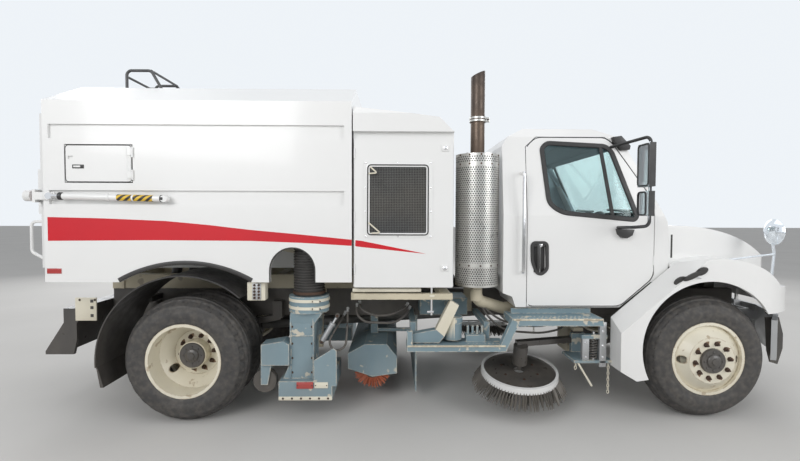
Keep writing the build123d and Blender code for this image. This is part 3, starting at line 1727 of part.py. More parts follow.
# Doors of the housing, each with a screened opening
leaf_rear = housing_rear + 10
leaf_front = housing_front - 10
leaf_corner = 45.0
screen_x = (housing_front - 691, housing_front - 210)
screen_z = (1543.0, 2099.0)
leaf_knuckles = (1230.0, 1650.0, 2150.0)
leaf_knuckle_radius = 7.0
with BuildPart() as engine_door:
    plate(
        [
            (leaf_rear, housing_bottom),
            (leaf_front, housing_bottom),
            (leaf_front, housing_door_top - leaf_corner),
            (leaf_front - leaf_corner, housing_door_top),
            (leaf_rear, housing_door_top),
        ],
        side_plane(-door_zone),
        housing_wall,
    )
    block(
        (leaf_rear + 30, leaf_front - 30),
        (-door_zone - 25, -door_zone + 1),
        (housing_bottom + 30, housing_door_top - 30),
        mode=Mode.SUBTRACT,
    )
    block(
        (screen_x[0] - 31, screen_x[1] + 40),
        (-half_width - 6, -door_zone - 20),
        (screen_z[0] - 24, screen_z[1] + 32),
    )
    block(screen_x, (-half_width - 7, -door_zone), screen_z, mode=Mode.SUBTRACT)
    block(
        (screen_x[0] - 5, screen_x[1] + 5),
        (-half_width + 6, -half_width + 12),
        (screen_z[0] - 5, screen_z[1] + 5),
    )
    for z in leaf_knuckles:
        rod(
            (leaf_rear + 5, -half_width - 5, z),
            (leaf_rear + 5, -half_width - 5, z + knuckle_height),
            leaf_knuckle_radius,
        )
both_sides(engine_door, "engine_door")

# Second engine, which drives the fan, as one plain block on its deck
with BuildPart() as auxiliary_engine:
    block(
        (housing_rear + 95, housing_front - 115),
        (-450, 450),
        (housing_bottom + 30, 1950),
    )
keep(auxiliary_engine.part, "auxiliary_engine")

# Suction nozzle: a wide mouth, its duct up to a round neck, and the caster's fork
neck_radius = 165.0
duct_x = (nozzle_x - 143.0, nozzle_x + 58.0)
head_x = (nozzle_x - 220.0, nozzle_x + 214.0)
head_y = (560.0, half_width - 20.0)
head_z = (195.0, 350.0)
wall = 8.0
caster_x = nozzle_x - 350.0
caster_y = half_width - 120.0
caster_z = 330.0
caster_radius = 95.0
caster_axle = 12.0
with BuildPart() as nozzle:
    block(head_x, (-head_y[0], -head_y[1]), head_z)
    plate(
        [
            (duct_x[0] - 10, head_z[1] - 5),
            (head_x[0] + 20, head_z[1] - 5),
            (duct_x[0], 480),
            (duct_x[0], 810),
            (duct_x[1], 810),
            (duct_x[1], 480),
            (head_x[1] - 40, head_z[1] - 5),
        ],
        side_plane(-nozzle_y + 110),
        220,
    )
    with BuildSketch(Plane.XY.offset(805)) as funnel_low:
        with Locations(((duct_x[0] + duct_x[1]) / 2, -nozzle_y)):
            Rectangle(duct_x[1] - duct_x[0], 220)
    with BuildSketch(Plane.XY.offset(900)) as funnel_high:
        with Locations((nozzle_x, -nozzle_y)):
            Rectangle(1.6 * neck_radius, 1.6 * neck_radius)
    loft([funnel_low.sketch.face(), funnel_high.sketch.face()])
    rod((nozzle_x, -nozzle_y, 895), (nozzle_x, -nozzle_y, hose_bottom), neck_radius)
    # The passage of the air
    rod(
        (nozzle_x, -nozzle_y, 899),
        (nozzle_x, -nozzle_y, hose_bottom + 1),
        hose_radius - 6,
        mode=Mode.SUBTRACT,
    )
    block(
        (duct_x[0] + wall, duct_x[1] - wall),
        (-nozzle_y - 110 + wall, -nozzle_y + 110 - wall),
        (head_z[1] - wall - 1, 910),
        mode=Mode.SUBTRACT,
    )
    block(
        (head_x[0] + wall, head_x[1] - wall),
        (-head_y[0] - wall, -head_y[1] + wall),
        (head_z[0] - 1, head_z[1] - wall),
        mode=Mode.SUBTRACT,
    )
    # Skid plate at the mouth's front corner
    plate(
        [
            (head_x[1] - 150, head_z[1] - 20),
            (head_x[1] - 150, 520),
            (head_x[1] + 10, 620),
            (head_x[1] + 36, 600),
            (head_x[1] + 36, 310),
            (head_x[1] - 10, 310),
        ],
        side_plane(-head_y[1] + 12),
        12,
    )
    # Slide on the guide post
    block((nozzle_x - 30, nozzle_x + 30), (-post_y[1] - 45, -post_y[1] - 0.5), (560, 760))
    block((nozzle_x - 30, nozzle_x + 30), (-nozzle_y + 105, -post_y[1] - 40), (640, 720))
    # Fork over the caster
    plate(
        [
            (caster_x - 20, 470),
            (caster_x - 20, 640),
            (caster_x + 160, 670),
            (duct_x[0] + 2, 640),
            (duct_x[0] + 2, 470),
        ],
        side_plane(-caster_y + 90),
        160,
    )
    for side in (-1, 1):
        plate(
            [
                (caster_x - 28, caster_z - 28),
                (caster_x - 28, 475),
                (caster_x + 60, 475),
                (caster_x + 28, caster_z - 28),
            ],
            side_plane(-caster_y + side * 42 + 5),
            10,
        )
    rod(
        (caster_x, -caster_y - 45, caster_z),
        (caster_x, -caster_y + 45, caster_z),
        caster_axle,
    )
both_sides(nozzle, "nozzle")

with BuildPart() as caster:
    rod((caster_x, -caster_y - 30, caster_z), (caster_x, -caster_y + 30, caster_z), caster_radius)
    rod(
        (caster_x, -caster_y - 31, caster_z),
        (caster_x, -caster_y + 31, caster_z),
        caster_axle + 0.1,
        mode=Mode.SUBTRACT,
    )
both_sides(caster, "caster")

# Corrugated hose between nozzle and hopper, as a plain tube
with BuildPart() as suction_hose:
    rod((nozzle_x, -nozzle_y, hose_bottom), (nozzle_x, -nozzle_y, hose_top), hose_radius)
    rod(
        (nozzle_x, -nozzle_y, hose_bottom - 1),
        (nozzle_x, -nozzle_y, hose_top + 1),
        hose_radius - 6,
        mode=Mode.SUBTRACT,
    )
both_sides(suction_hose, "suction_hose")

# Gutter broom on its swinging arm. Its axis leans, so that the outer edge is the lower one
broom_axis = Vector(0, -sin(radians(broom_tilt)), cos(radians(broom_tilt)))
broom_out = Vector(1, 0, 0)
broom_centre = Vector(broom_x, -broom_y, broom_z)
spindle = 15.0
hub_top = 60.0
with BuildPart() as gutter_arm:
    rod((arm_pivot_x, -arm_pivot_y, arm_low), (arm_pivot_x, -arm_pivot_y, arm_high), 44)
    plate(
        [
            (arm_pivot_x - 20, -arm_pivot_y + 38),
            (arm_pivot_x - 20, -arm_pivot_y - 38),
            (broom_x - 30, -broom_y - 45),
            (broom_x - 30, -broom_y + 35),
        ],
        Plane.XY.offset(555),
        45,
    )
    rod(broom_centre + broom_axis * (hub_top + 8), broom_centre + broom_axis * 240, 62)
    rod(broom_centre + broom_axis * 12, broom_centre + broom_axis * 100, spindle)
    rod(
        (arm_pivot_x, -arm_pivot_y, arm_low - 1),
        (arm_pivot_x, -arm_pivot_y, arm_high + 1),
        arm_pin + 0.1,
        mode=Mode.SUBTRACT,
    )
both_sides(gutter_arm, "gutter_arm")

bristle_depth = 148.0
with BuildPart() as gutter_broom:
    turned(
        [
            (0, 0),
            (205, 0),
            (300, -bristle_depth),
            (broom_tip, -bristle_depth),
            (broom_disc, 2),
            (broom_disc, 26),
            (70, 26),
            (70, hub_top),
            (0, hub_top),
        ],
        broom_centre,
        broom_axis,
        broom_out,
    )
    rod(
        broom_centre + broom_axis * 8,
        broom_centre + broom_axis * (hub_top + 1),
        spindle + 0.1,
        mode=Mode.SUBTRACT,
    )
both_sides(gutter_broom, "gutter_broom")

# Cross broom under its cover, hung from the rails
journal = 22.0
cover_radius = roller_radius + 26
cover_reach = cover_radius + 14
cover_height = cover_radius + 26
with BuildPart() as extension_broom:
    rod((roller_x, -roller_half, roller_z), (roller_x, roller_half, roller_z), roller_radius)
    for side in (-1, 1):
        rod(
            (roller_x, side * (roller_half - 30), roller_z),
            (roller_x, side * (roller_half + 1), roller_z),
            journal + 0.1,
            mode=Mode.SUBTRACT,
        )
keep(extension_broom.part, "extension_broom")


def cover_form(inset, half, mode=Mode.ADD):
    """The folded cover's outside, or the room inside it."""
    plate(
        [
            (roller_x - cover_reach + inset, roller_z - 61),
            (roller_x - cover_reach + inset, roller_z + 150 - inset / 2),
            (roller_x - 70, roller_z + cover_height - inset),
            (roller_x + 130, roller_z + cover_height - inset),
            (roller_x + cover_reach - inset, roller_z + 120 - inset / 2),
            (roller_x + cover_reach - inset, roller_z - 61),
        ],
        side_plane(half),
        2 * half,
        mode=mode,
    )


with BuildPart() as broom_cover:
    cover_form(0, roller_half + 18)
    cover_form(10, roller_half + 6, mode=Mode.SUBTRACT)
    plate(
        [
            (roller_x - 300, roller_z - 300),
            (roller_x - 300, roller_z + 40),
            (roller_x, roller_z - 60),
            (roller_x + 300, roller_z - 20),
            (roller_x + 300, roller_z - 300),
        ],
        side_plane(roller_half + 20),
        2 * roller_half + 40,
        mode=Mode.SUBTRACT,
    )
    for side in (-1, 1):
        block(
            (roller_x - 40, roller_x + 40),
            (side * (roller_half + 6), side * (roller_half + 18)),
            (roller_z - 40, roller_z + 60),
        )
        rod(
            (roller_x, side * (roller_half - 22), roller_z),
            (roller_x, side * (roller_half + 8), roller_z),
            journal,
        )
        # Hanger below the rail and the rubber flap ahead of the broom
        block(
            (roller_x - 35, roller_x + 35),
            (side * 380, side * 425),
            (roller_z + cover_radius - 5, rail_bottom),
        )
        block(
            (housing_front - 290, housing_front - 250),
            (side * 380, side * 425),
            (540, rail_bottom),
        )
        block(
            (roller_x + 20, housing_front - 255),
            (side * 385, side * 420),
            (560, 590),
        )
    block((housing_front - 285, housing_front - 273), (-750, 750), (90, 565))
keep(broom_cover.part, "broom_cover")
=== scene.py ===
# %% [markdown]
# # A street sweeper truck, finished in Blender
#
# The imported model brings every panel, wheel, rail and bracket at its real size. This lesson gives those
# solids their paint, rubber, glass and steel, and adds what is too fine for the solid model: tread,
# bristles, window rubbers, screens, bolts, lamps, hoses and cushions.
#
# All lengths are metres. +X points forward, +Y to the truck's left and +Z up, so the side that the
# camera sees is at negative Y.

# %% Load the frame
import json
import random
from math import cos, pi, radians, sin, sqrt, tau

import bmesh
import bpy
from mathutils import Matrix, Vector


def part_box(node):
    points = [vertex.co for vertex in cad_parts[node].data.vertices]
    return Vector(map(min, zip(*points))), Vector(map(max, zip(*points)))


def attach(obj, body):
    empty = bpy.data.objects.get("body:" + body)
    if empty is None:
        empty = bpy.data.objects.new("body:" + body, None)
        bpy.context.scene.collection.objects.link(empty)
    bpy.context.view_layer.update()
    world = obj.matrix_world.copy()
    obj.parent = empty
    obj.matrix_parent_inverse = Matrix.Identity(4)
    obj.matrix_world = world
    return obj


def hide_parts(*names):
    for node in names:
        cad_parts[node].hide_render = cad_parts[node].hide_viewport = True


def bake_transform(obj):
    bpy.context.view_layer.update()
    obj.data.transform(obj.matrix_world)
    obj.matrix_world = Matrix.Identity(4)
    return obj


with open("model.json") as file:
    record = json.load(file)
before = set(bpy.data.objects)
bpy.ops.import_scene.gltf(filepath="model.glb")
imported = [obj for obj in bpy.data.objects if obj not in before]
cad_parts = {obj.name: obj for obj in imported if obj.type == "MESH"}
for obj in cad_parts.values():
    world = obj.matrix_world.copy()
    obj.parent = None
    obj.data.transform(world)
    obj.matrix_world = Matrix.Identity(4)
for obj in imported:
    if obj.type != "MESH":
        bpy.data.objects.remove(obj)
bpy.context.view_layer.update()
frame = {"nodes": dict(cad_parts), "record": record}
nodes = frame["nodes"]
random.seed(7)

# %% [markdown]
# The camera comes first, because it decides what has to look right. Its place, tilt and focal length
# were worked out from the two near wheels in the photograph: their size gives the distance, and the
# space between the axles gives the scale. Blender builds a camera from three axes, so the yaw, pitch and
# roll are turned into a forward, a right-hand and an upward direction.

# %% Set up the camera
scene = bpy.context.scene
photo_width, photo_height = 800, 461
focal_pixels = 457.1
sensor_width = 36.0
camera_place = Vector((-0.306, -4.875, 1.703))
yaw, pitch, roll = radians(0.80), radians(-1.96), radians(0.17)
forward = Vector((sin(yaw) * cos(pitch), cos(yaw) * cos(pitch), sin(pitch)))
level_right = Vector((cos(yaw), -sin(yaw), 0))
level_up = level_right.cross(forward)
camera_right = level_right * cos(roll) + level_up * sin(roll)
camera_up = level_up * cos(roll) - level_right * sin(roll)
lens = bpy.data.cameras.new("photo_camera")
lens.sensor_fit = "HORIZONTAL"
lens.sensor_width = sensor_width
lens.lens = sensor_width * focal_pixels / photo_width
camera = bpy.data.objects.new("photo_camera", lens)
turn = Matrix((camera_right, camera_up, -forward)).transposed().to_4x4()
camera.matrix_world = Matrix.Translation(camera_place) @ turn
scene.collection.objects.link(camera)
scene.camera = camera
scene.view_settings.view_transform = "Standard"
print("lens", round(lens.lens, 2), "mm for", photo_width, "x", photo_height)

# %% [markdown]
# The sky and every finish are trees of small nodes. These helpers add one node at a time, so that a
# finish later reads like a short recipe. Noise is laid out in metres in the truck's own frame, which keeps
# a pattern the same size on every piece.

# %% Make the shader tools
def feed(tree, node, rows):
    """Sets a node's inputs from (name or number, value or socket) pairs."""
    for key, value in rows:
        if isinstance(value, bpy.types.NodeSocket):
            tree.links.new(value, node.inputs[key])
        else:
            node.inputs[key].default_value = value


def add_node(tree, kind, rows=(), **settings):
    """One node with its settings and inputs."""
    made = tree.nodes.new(kind)
    for key, value in settings.items():
        setattr(made, key, value)
    feed(tree, made, rows)
    return made


def new_tree(name):
    """A material with its node tree and its main shader."""
    made = bpy.data.materials.new(name)
    made.use_nodes = True
    return made, made.node_tree, made.node_tree.nodes["Principled BSDF"]


def place_in(tree):
    """The point of the surface in metres, in the truck's own frame."""
    return add_node(tree, "ShaderNodeTexCoord").outputs["Object"]


def noise(tree, scale, detail=3.0, stretch=None):
    """Soft random values from 0 to 1, optionally stretched along an axis."""
    point = place_in(tree)
    if stretch:
        point = add_node(tree, "ShaderNodeMapping", [("Vector", point), ("Scale", stretch)]).outputs[0]
    rows = [("Vector", point), ("Scale", scale), ("Detail", detail)]
    return add_node(tree, "ShaderNodeTexNoise", rows).outputs["Fac"]


def spread(tree, value, low, high, out_low=0.0, out_high=1.0):
    """Stretches the part of a value between low and high to a new range."""
    rows = [("Value", value), ("From Min", low), ("From Max", high), ("To Min", out_low), ("To Max", out_high)]
    return add_node(tree, "ShaderNodeMapRange", rows).outputs[0]


def maths(tree, kind, a, b=0.0):
    """One sum on two values or sockets."""
    return add_node(tree, "ShaderNodeMath", [(0, a), (1, b)], operation=kind).outputs[0]


def times(tree, a, b):
    """The product of two values or sockets."""
    return maths(tree, "MULTIPLY", a, b)


def blend_colour(tree, share, first, second):
    """The first colour where the share is 0 and the second where it is 1."""
    mixer = add_node(tree, "ShaderNodeMix", [("Factor", share)], data_type="RGBA")
    for key, value in ((6, first), (7, second)):
        feed(tree, mixer, [(key, (*value, 1) if isinstance(value, tuple) else value)])
    return mixer.outputs[2]


def bump(tree, shader, height, strength, distance):
    """Small relief on the shader's normal."""
    relief = add_node(tree, "ShaderNodeBump", [("Height", height), ("Strength", strength), ("Distance", distance)])
    feed(tree, shader, [("Normal", relief.outputs[0])])


print("shader tools ready")

# %% [markdown]
# A studio has soft light from all round. Here the sky is one even colour that gives part of the light,
# and large area lamps give the rest, so that panels shade gently and chrome has something to mirror.
# Camera and mirror rays see a brighter sky than the one that lights the truck: that keeps the background
# light without washing out the white paint.

# %% Light the studio
world = bpy.data.worlds.new("studio_sky")
scene.world = world
world.use_nodes = True
sky = world.node_tree
sky.nodes.clear()
seen_strength, light_strength = 1.0, 0.46
sky_seen = add_node(sky, "ShaderNodeBackground", [("Color", (0.86, 0.90, 0.94, 1)), ("Strength", seen_strength)])
sky_light = add_node(sky, "ShaderNodeBackground", [("Color", (0.95, 0.97, 1.0, 1)), ("Strength", light_strength)])
ray = add_node(sky, "ShaderNodeLightPath").outputs
seen = maths(sky, "MAXIMUM", ray["Is Camera Ray"], ray["Is Glossy Ray"])
seen = maths(sky, "MAXIMUM", seen, ray["Is Transmission Ray"])
sky_mix = add_node(sky, "ShaderNodeMixShader", [("Fac", seen), (1, sky_light.outputs[0]), (2, sky_seen.outputs[0])])
add_node(sky, "ShaderNodeOutputWorld", [("Surface", sky_mix.outputs[0])])

target = Vector((0, 0, 1.3))
# Each lamp: name, place, width, power in watts
lamps = [
    ("key", (-5.0, -9.0, 5.5), 5.0, 415),
    ("fill", (7.5, -7.0, 4.0), 5.0, 300),
    ("back_left", (-7.5, 8.0, 5.5), 5.0, 260),
    ("back_right", (6.0, 9.0, 5.0), 5.0, 260),
    ("top", (0.0, 0.0, 8.5), 7.0, 110),
]
for name, place, width, power in lamps:
    lamp = bpy.data.lights.new(f"lamp_{name}", "AREA")
    lamp.size, lamp.energy = width, power
    holder = bpy.data.objects.new(f"lamp_{name}", lamp)
    holder.location = place
    holder.rotation_euler = (target - holder.location).to_track_quat("-Z", "Y").to_euler()
    scene.collection.objects.link(holder)
print("lamps", len(lamps))

# %% [markdown]
# The floor is a plain pale sheet. It only has to carry the truck's shadow and fade into the sky, so it is
# one large face with a hint of unevenness in its colour.

# %% Lay the floor
floor_half = 60.0
floor_look, tree, shader = new_tree("pale_floor")
floor_colour = blend_colour(tree, noise(tree, 0.6, 5.0), (0.58, 0.57, 0.55), (0.68, 0.67, 0.65))
feed(tree, shader, [("Base Color", floor_colour), ("Roughness", 0.9)])
floor_mesh = bpy.data.meshes.new("floor")
corners = [(x * floor_half, y * floor_half, 0) for x, y in ((-1, -1), (1, -1), (1, 1), (-1, 1))]
floor_mesh.from_pydata(corners, [], [(0, 1, 2, 3)])
floor_mesh.materials.append(floor_look)
floor = bpy.data.objects.new("floor", floor_mesh)
scene.collection.objects.link(floor)
print("floor", 2 * floor_half, "m square")

# %% [markdown]
# Most of the truck is painted metal. One function makes every paint, because real paints differ in a few
# numbers: two close colours that a noise mixes, so no panel is perfectly even, a range of roughness, a
# clear coat on the gloss ones, and an orange-peel bump. Road dust lies thicker near the ground, so its
# share falls with height. Worn paint shows its undercoat where a second noise passes a threshold, and
# also on edges, which a Bevel node finds by comparing two normals.

# %% Make the paint function
dust_colour = (0.36, 0.31, 0.25)


def dusty(tree, colour, amount, top):
    """Lays road dust over a colour, thickest at the ground and gone at a height."""
    height = add_node(tree, "ShaderNodeSeparateXYZ", [("Vector", place_in(tree))]).outputs["Z"]
    low_down = spread(tree, height, top, 0.1)
    patches = spread(tree, noise(tree, 7.0, 6.0, (1, 1, 0.35)), 0.30, 0.80, 0.35, 1.0)
    return blend_colour(tree, times(tree, times(tree, low_down, patches), amount), colour, dust_colour)


def edge_share(tree, radius, fine):
    """Near 1 on outer edges and 0 on flats, broken up by a noise."""
    rounded = add_node(tree, "ShaderNodeBevel", [("Radius", radius)], samples=4).outputs[0]
    flat = add_node(tree, "ShaderNodeNewGeometry").outputs["Normal"]
    same = add_node(tree, "ShaderNodeVectorMath", [(0, rounded), (1, flat)], operation="DOT_PRODUCT")
    rim = spread(tree, same.outputs["Value"], 0.995, 0.93)
    return times(tree, rim, spread(tree, noise(tree, fine, 5.0), 0.40, 0.55))


def paint(name, light, dark, rough, coat=0.0, metal=0.0, dust=0.0, top=1.4, chips=None, peel=0.04, grain=160.0):
    """A painted or plated finish. rough is (lowest, highest) roughness, top the height that dust reaches,
    chips the colour below worn edges, peel the strength of its relief and grain the fineness of that."""
    made, tree, shader = new_tree(name)
    colour = blend_colour(tree, spread(tree, noise(tree, 2.2, 5.0), 0.3, 0.7), light, dark)
    if chips:
        colour = blend_colour(tree, edge_share(tree, 0.012, 22.0), colour, chips)
        scars = spread(tree, noise(tree, 9.0, 8.0), 0.63, 0.66)
        colour = blend_colour(tree, times(tree, scars, 0.8), colour, chips)
    if dust:
        colour = dusty(tree, colour, dust, top)
    feed(tree, shader, [
        ("Base Color", colour), ("Roughness", spread(tree, noise(tree, 14.0, 4.0), 0.3, 0.7, *rough)),
        ("Metallic", metal), ("Coat Weight", coat), ("Coat Roughness", 0.08),
    ])
    bump(tree, shader, noise(tree, grain, 2.0), peel, 0.002)
    return made


print("paint function ready")

# %% [markdown]
# Each finish of the truck is one row of numbers for that function. Bare metals, rubber, plastic, cloth
# and coloured lamp covers are rows too, because they differ from paint only in how metallic, glossy and
# rough they are. A lamp cover that isn't lit looks like glossy coloured plastic, so it needs no glass.

# %% Mix the paints
# Each row: name, light colour, dark colour, roughness, and what differs from plain paint
paints = [
    ("white_paint", (0.82, 0.82, 0.81), (0.805, 0.805, 0.795), (0.28, 0.32),
     dict(coat=0.4, dust=0.16, peel=0.15, grain=5.0)),
    ("black_paint", (0.030, 0.030, 0.033), (0.045, 0.044, 0.043), (0.25, 0.45), dict(coat=0.2, dust=0.30)),
    ("frame_paint", (0.050, 0.050, 0.052), (0.085, 0.080, 0.072), (0.45, 0.7), dict(dust=0.45)),
    ("beige_paint", (0.62, 0.56, 0.42), (0.52, 0.47, 0.35), (0.4, 0.6), dict(dust=0.25, chips=(0.30, 0.26, 0.20))),
    ("blue_grey_paint", (0.22, 0.31, 0.35), (0.16, 0.24, 0.28), (0.45, 0.65),
     dict(dust=0.25, top=1.2, chips=(0.66, 0.60, 0.48))),
    ("silver_paint", (0.50, 0.51, 0.52), (0.42, 0.43, 0.44), (0.3, 0.5), dict(metal=0.6, dust=0.25)),
    ("wheel_paint", (0.80, 0.76, 0.63), (0.70, 0.65, 0.52), (0.35, 0.5),
     dict(coat=0.2, dust=0.25, top=1.1, chips=(0.42, 0.33, 0.22))),
    ("black_plastic", (0.022, 0.022, 0.024), (0.040, 0.039, 0.038), (0.35, 0.6), dict(dust=0.30, peel=0.12)),
    ("hose_rubber", (0.028, 0.028, 0.030), (0.050, 0.048, 0.045), (0.5, 0.75), dict(dust=0.35, top=1.6, peel=0.2)),
    ("interior_trim", (0.12, 0.12, 0.13), (0.17, 0.165, 0.16), (0.55, 0.8), dict(peel=0.25)),
    ("engine_metal", (0.14, 0.15, 0.16), (0.22, 0.21, 0.19), (0.45, 0.7),
     dict(metal=0.4, dust=0.35, top=1.6, peel=0.3)),
    ("rod_chrome", (0.80, 0.80, 0.81), (0.72, 0.72, 0.73), (0.06, 0.14), dict(metal=1, peel=0.01)),
    ("mirror_finish", (0.84, 0.88, 0.92), (0.78, 0.83, 0.88), (0.05, 0.12), dict(coat=0.5, metal=0.6, peel=0.005)),
    ("stack_steel", (0.16, 0.115, 0.085), (0.055, 0.045, 0.040), (0.35, 0.6), dict(metal=0.7, peel=0.1)),
    ("dark_bristle", (0.055, 0.052, 0.050), (0.10, 0.095, 0.088), (0.5, 0.8), dict(dust=0.35, top=0.6)),
    ("orange_bristle", (0.62, 0.17, 0.075), (0.42, 0.10, 0.05), (0.5, 0.8), dict(dust=0.25, top=0.6)),
    ("shield_clean", (0.62, 0.62, 0.60), (0.48, 0.46, 0.43), (0.24, 0.40), dict(metal=0.9, dust=0.1, peel=0.05)),
    ("rusty_steel", (0.10, 0.055, 0.035), (0.045, 0.032, 0.026), (0.55, 0.8), dict(metal=0.35, peel=0.4)),
    # The next finish is the brown painted shadow that each wheel nut casts on its disc.
    ("painted_nut_shadow", (0.16, 0.095, 0.055), (0.26, 0.17, 0.10), (0.5, 0.7), dict(peel=0.1)),
    ("red_vinyl", (0.60, 0.002, 0.012), (0.54, 0.003, 0.014), (0.40, 0.52), dict(dust=0.02, top=1.9)),
    ("hazard_yellow", (0.80, 0.52, 0.03), (0.70, 0.45, 0.04), (0.35, 0.5), dict(dust=0.2, top=2.2)),
    ("red_lens", (0.45, 0.012, 0.012), (0.36, 0.010, 0.012), (0.10, 0.2), dict(coat=0.8, dust=0.2, top=2.0)),
    ("amber_lens", (0.75, 0.26, 0.02), (0.62, 0.20, 0.02), (0.10, 0.2), dict(coat=0.8, dust=0.1, top=2.4)),
    ("clear_lens", (0.74, 0.76, 0.77), (0.60, 0.62, 0.64), (0.08, 0.18), dict(coat=0.9, metal=0.3, dust=0.1, top=2.0)),
    ("window_rubber", (0.018, 0.018, 0.019), (0.030, 0.029, 0.028), (0.4, 0.6), dict(dust=0.12, top=1.8, peel=0.1)),
    ("seat_cloth", (0.16, 0.165, 0.18), (0.11, 0.11, 0.125), (0.8, 0.95), dict(peel=0.5)),
    ("cream_paint", (0.74, 0.68, 0.53), (0.64, 0.58, 0.44), (0.3, 0.5),
     dict(coat=0.2, dust=0.2, chips=(0.36, 0.30, 0.22))),
    ("cream_trim", (0.78, 0.74, 0.62), (0.68, 0.63, 0.50), (0.3, 0.5), dict(coat=0.2, dust=0.12, top=1.2)),
    ("cab_liner", (0.42, 0.49, 0.54), (0.36, 0.43, 0.48), (0.6, 0.8), dict(peel=0.2)),
    ("dark_mesh", (0.016, 0.016, 0.018), (0.035, 0.034, 0.033), (0.5, 0.7), dict(metal=0.3, dust=0.2, top=2.2)),
]
looks = {name: paint(name, light, dark, rough, **rest) for name, light, dark, rough, rest in paints}
print("paints", len(looks))

# %% [markdown]
# Glass lets light through and is tinted a little green, because cab glass is. It is a thin pane, so plain
# transparency is mixed with a gloss that grows where the pane is seen at a slant: that keeps the seats
# visible without the noise that refraction through two close faces gives. The tyres are rubber with a
# fine grain and brown dust. The shield round the silencer is stainless sheet with rows of round holes.

# %% Make glass, tyre rubber and perforated steel
def make_glass():
    """Tinted safety glass with a little dust."""
    made, tree, shader = new_tree("clear_glass")
    tint = blend_colour(tree, noise(tree, 1.5), (0.93, 0.985, 0.98), (0.90, 0.975, 0.97))
    gloss = spread(tree, noise(tree, 6.0, 4.0), 0.3, 0.8, 0.02, 0.12)
    feed(tree, shader, [("Base Color", (0.80, 0.90, 0.90, 1)), ("Roughness", gloss), ("Metallic", 1.0)])
    clear = add_node(tree, "ShaderNodeBsdfTransparent", [("Color", tint)])
    slant = add_node(tree, "ShaderNodeLayerWeight", [("Blend", 0.5)]).outputs["Facing"]
    share = spread(tree, maths(tree, "POWER", slant, 4.0), 0.0, 1.0, 0.035, 0.8)
    both = add_node(tree, "ShaderNodeMixShader", [("Fac", share), (1, clear.outputs[0]), (2, shader.outputs[0])])
    feed(tree, tree.nodes["Material Output"], [("Surface", both.outputs[0])])
    return made


def make_tyre_rubber():
    """Black rubber with grain and dust."""
    made, tree, shader = new_tree("tyre_rubber")
    colour = blend_colour(tree, noise(tree, 4.0, 6.0), (0.030, 0.030, 0.032), (0.058, 0.055, 0.052))
    colour = blend_colour(tree, spread(tree, noise(tree, 26.0, 8.0), 0.40, 0.75, 0.02, 0.16), colour, dust_colour)
    rough = spread(tree, noise(tree, 20.0), 0.3, 0.7, 0.55, 0.8)
    feed(tree, shader, [("Base Color", colour), ("Roughness", rough)])
    bump(tree, shader, noise(tree, 240.0, 3.0), 0.25, 0.002)
    return made


stack_centre = (0.419, -0.900)
hole_pitch = 0.021
row_pitch = 0.866
shield_reach = 0.186
# Bands without holes: lower edge and upper edge of each
plain_bands = ((1.09, 1.115), (1.262, 1.300), (2.115, 2.150), (2.200, 2.225))


def make_shield_steel():
    """Stainless sheet with a staggered pattern of holes round the silencer's upright axis."""
    made, tree, shader = new_tree("shield_steel")
    axis = add_node(tree, "ShaderNodeSeparateXYZ", [("Vector", place_in(tree))]).outputs
    along = maths(tree, "SUBTRACT", axis["X"], stack_centre[0])
    out = maths(tree, "SUBTRACT", axis["Y"], stack_centre[1])
    column = times(tree, maths(tree, "ARCTAN2", out, along), shield_reach / hole_pitch)
    row = maths(tree, "DIVIDE", axis["Z"], hole_pitch * row_pitch)
    odd = times(tree, maths(tree, "MODULO", maths(tree, "FLOOR", row), 2.0), 0.5)
    across = maths(tree, "SUBTRACT", maths(tree, "FRACT", maths(tree, "ADD", column, odd)), 0.5)
    up = times(tree, maths(tree, "SUBTRACT", maths(tree, "FRACT", row), 0.5), row_pitch)
    squares = [maths(tree, "POWER", value, 2.0) for value in (across, up)]
    hole = spread(tree, maths(tree, "SQRT", maths(tree, "ADD", *squares)), 0.34, 0.26)
    band = 0.0
    for low, high in plain_bands:
        above, below = maths(tree, "GREATER_THAN", axis["Z"], low), maths(tree, "LESS_THAN", axis["Z"], high)
        band = maths(tree, "MAXIMUM", times(tree, above, below), band)
    hole = times(tree, hole, maths(tree, "SUBTRACT", 1.0, band))
    steel = blend_colour(tree, noise(tree, 3.0, 5.0, (1, 1, 0.2)), (0.62, 0.62, 0.60), (0.48, 0.46, 0.42))
    feed(tree, shader, [
        ("Base Color", blend_colour(tree, hole, steel, (0.035, 0.033, 0.030))),
        ("Roughness", spread(tree, noise(tree, 12.0), 0.3, 0.7, 0.24, 0.42)),
        ("Metallic", maths(tree, "SUBTRACT", 0.9, times(tree, hole, 0.9))),
    ])
    bump(tree, shader, maths(tree, "SUBTRACT", 1.0, hole), 0.7, 0.004)
    return made


looks["clear_glass"] = make_glass()
looks["tyre_rubber"] = make_tyre_rubber()
looks["shield_steel"] = make_shield_steel()
print("looks", len(looks))

# %% [markdown]
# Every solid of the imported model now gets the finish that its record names. The solids keep their shape.
# A solid made of several materials gets one slot for each, and its faces are shared out by where they
# lie: a hub is whatever lies nearer to the wheel's axis than the disc does.

# %% Dress the solids
slot_of = {row["node"]: row["material_slot"] for row in frame["record"]["subparts"]}
for name, obj in nodes.items():
    obj.data.materials.clear()
    obj.data.materials.append(looks[slot_of[name]])


def share_out(name, *rows):
    """Gives faces of one solid other finishes. Each row: finish, and a test of a face's middle and normal."""
    mesh = nodes[name].data
    for finish, test in rows:
        if looks[finish] not in list(mesh.materials):
            mesh.materials.append(looks[finish])
        index = list(mesh.materials).index(looks[finish])
        hits = [face for face in mesh.polygons if test(face.center, face.normal)]
        for face in hits:
            face.material_index = index
        print(name, finish, len(hits))


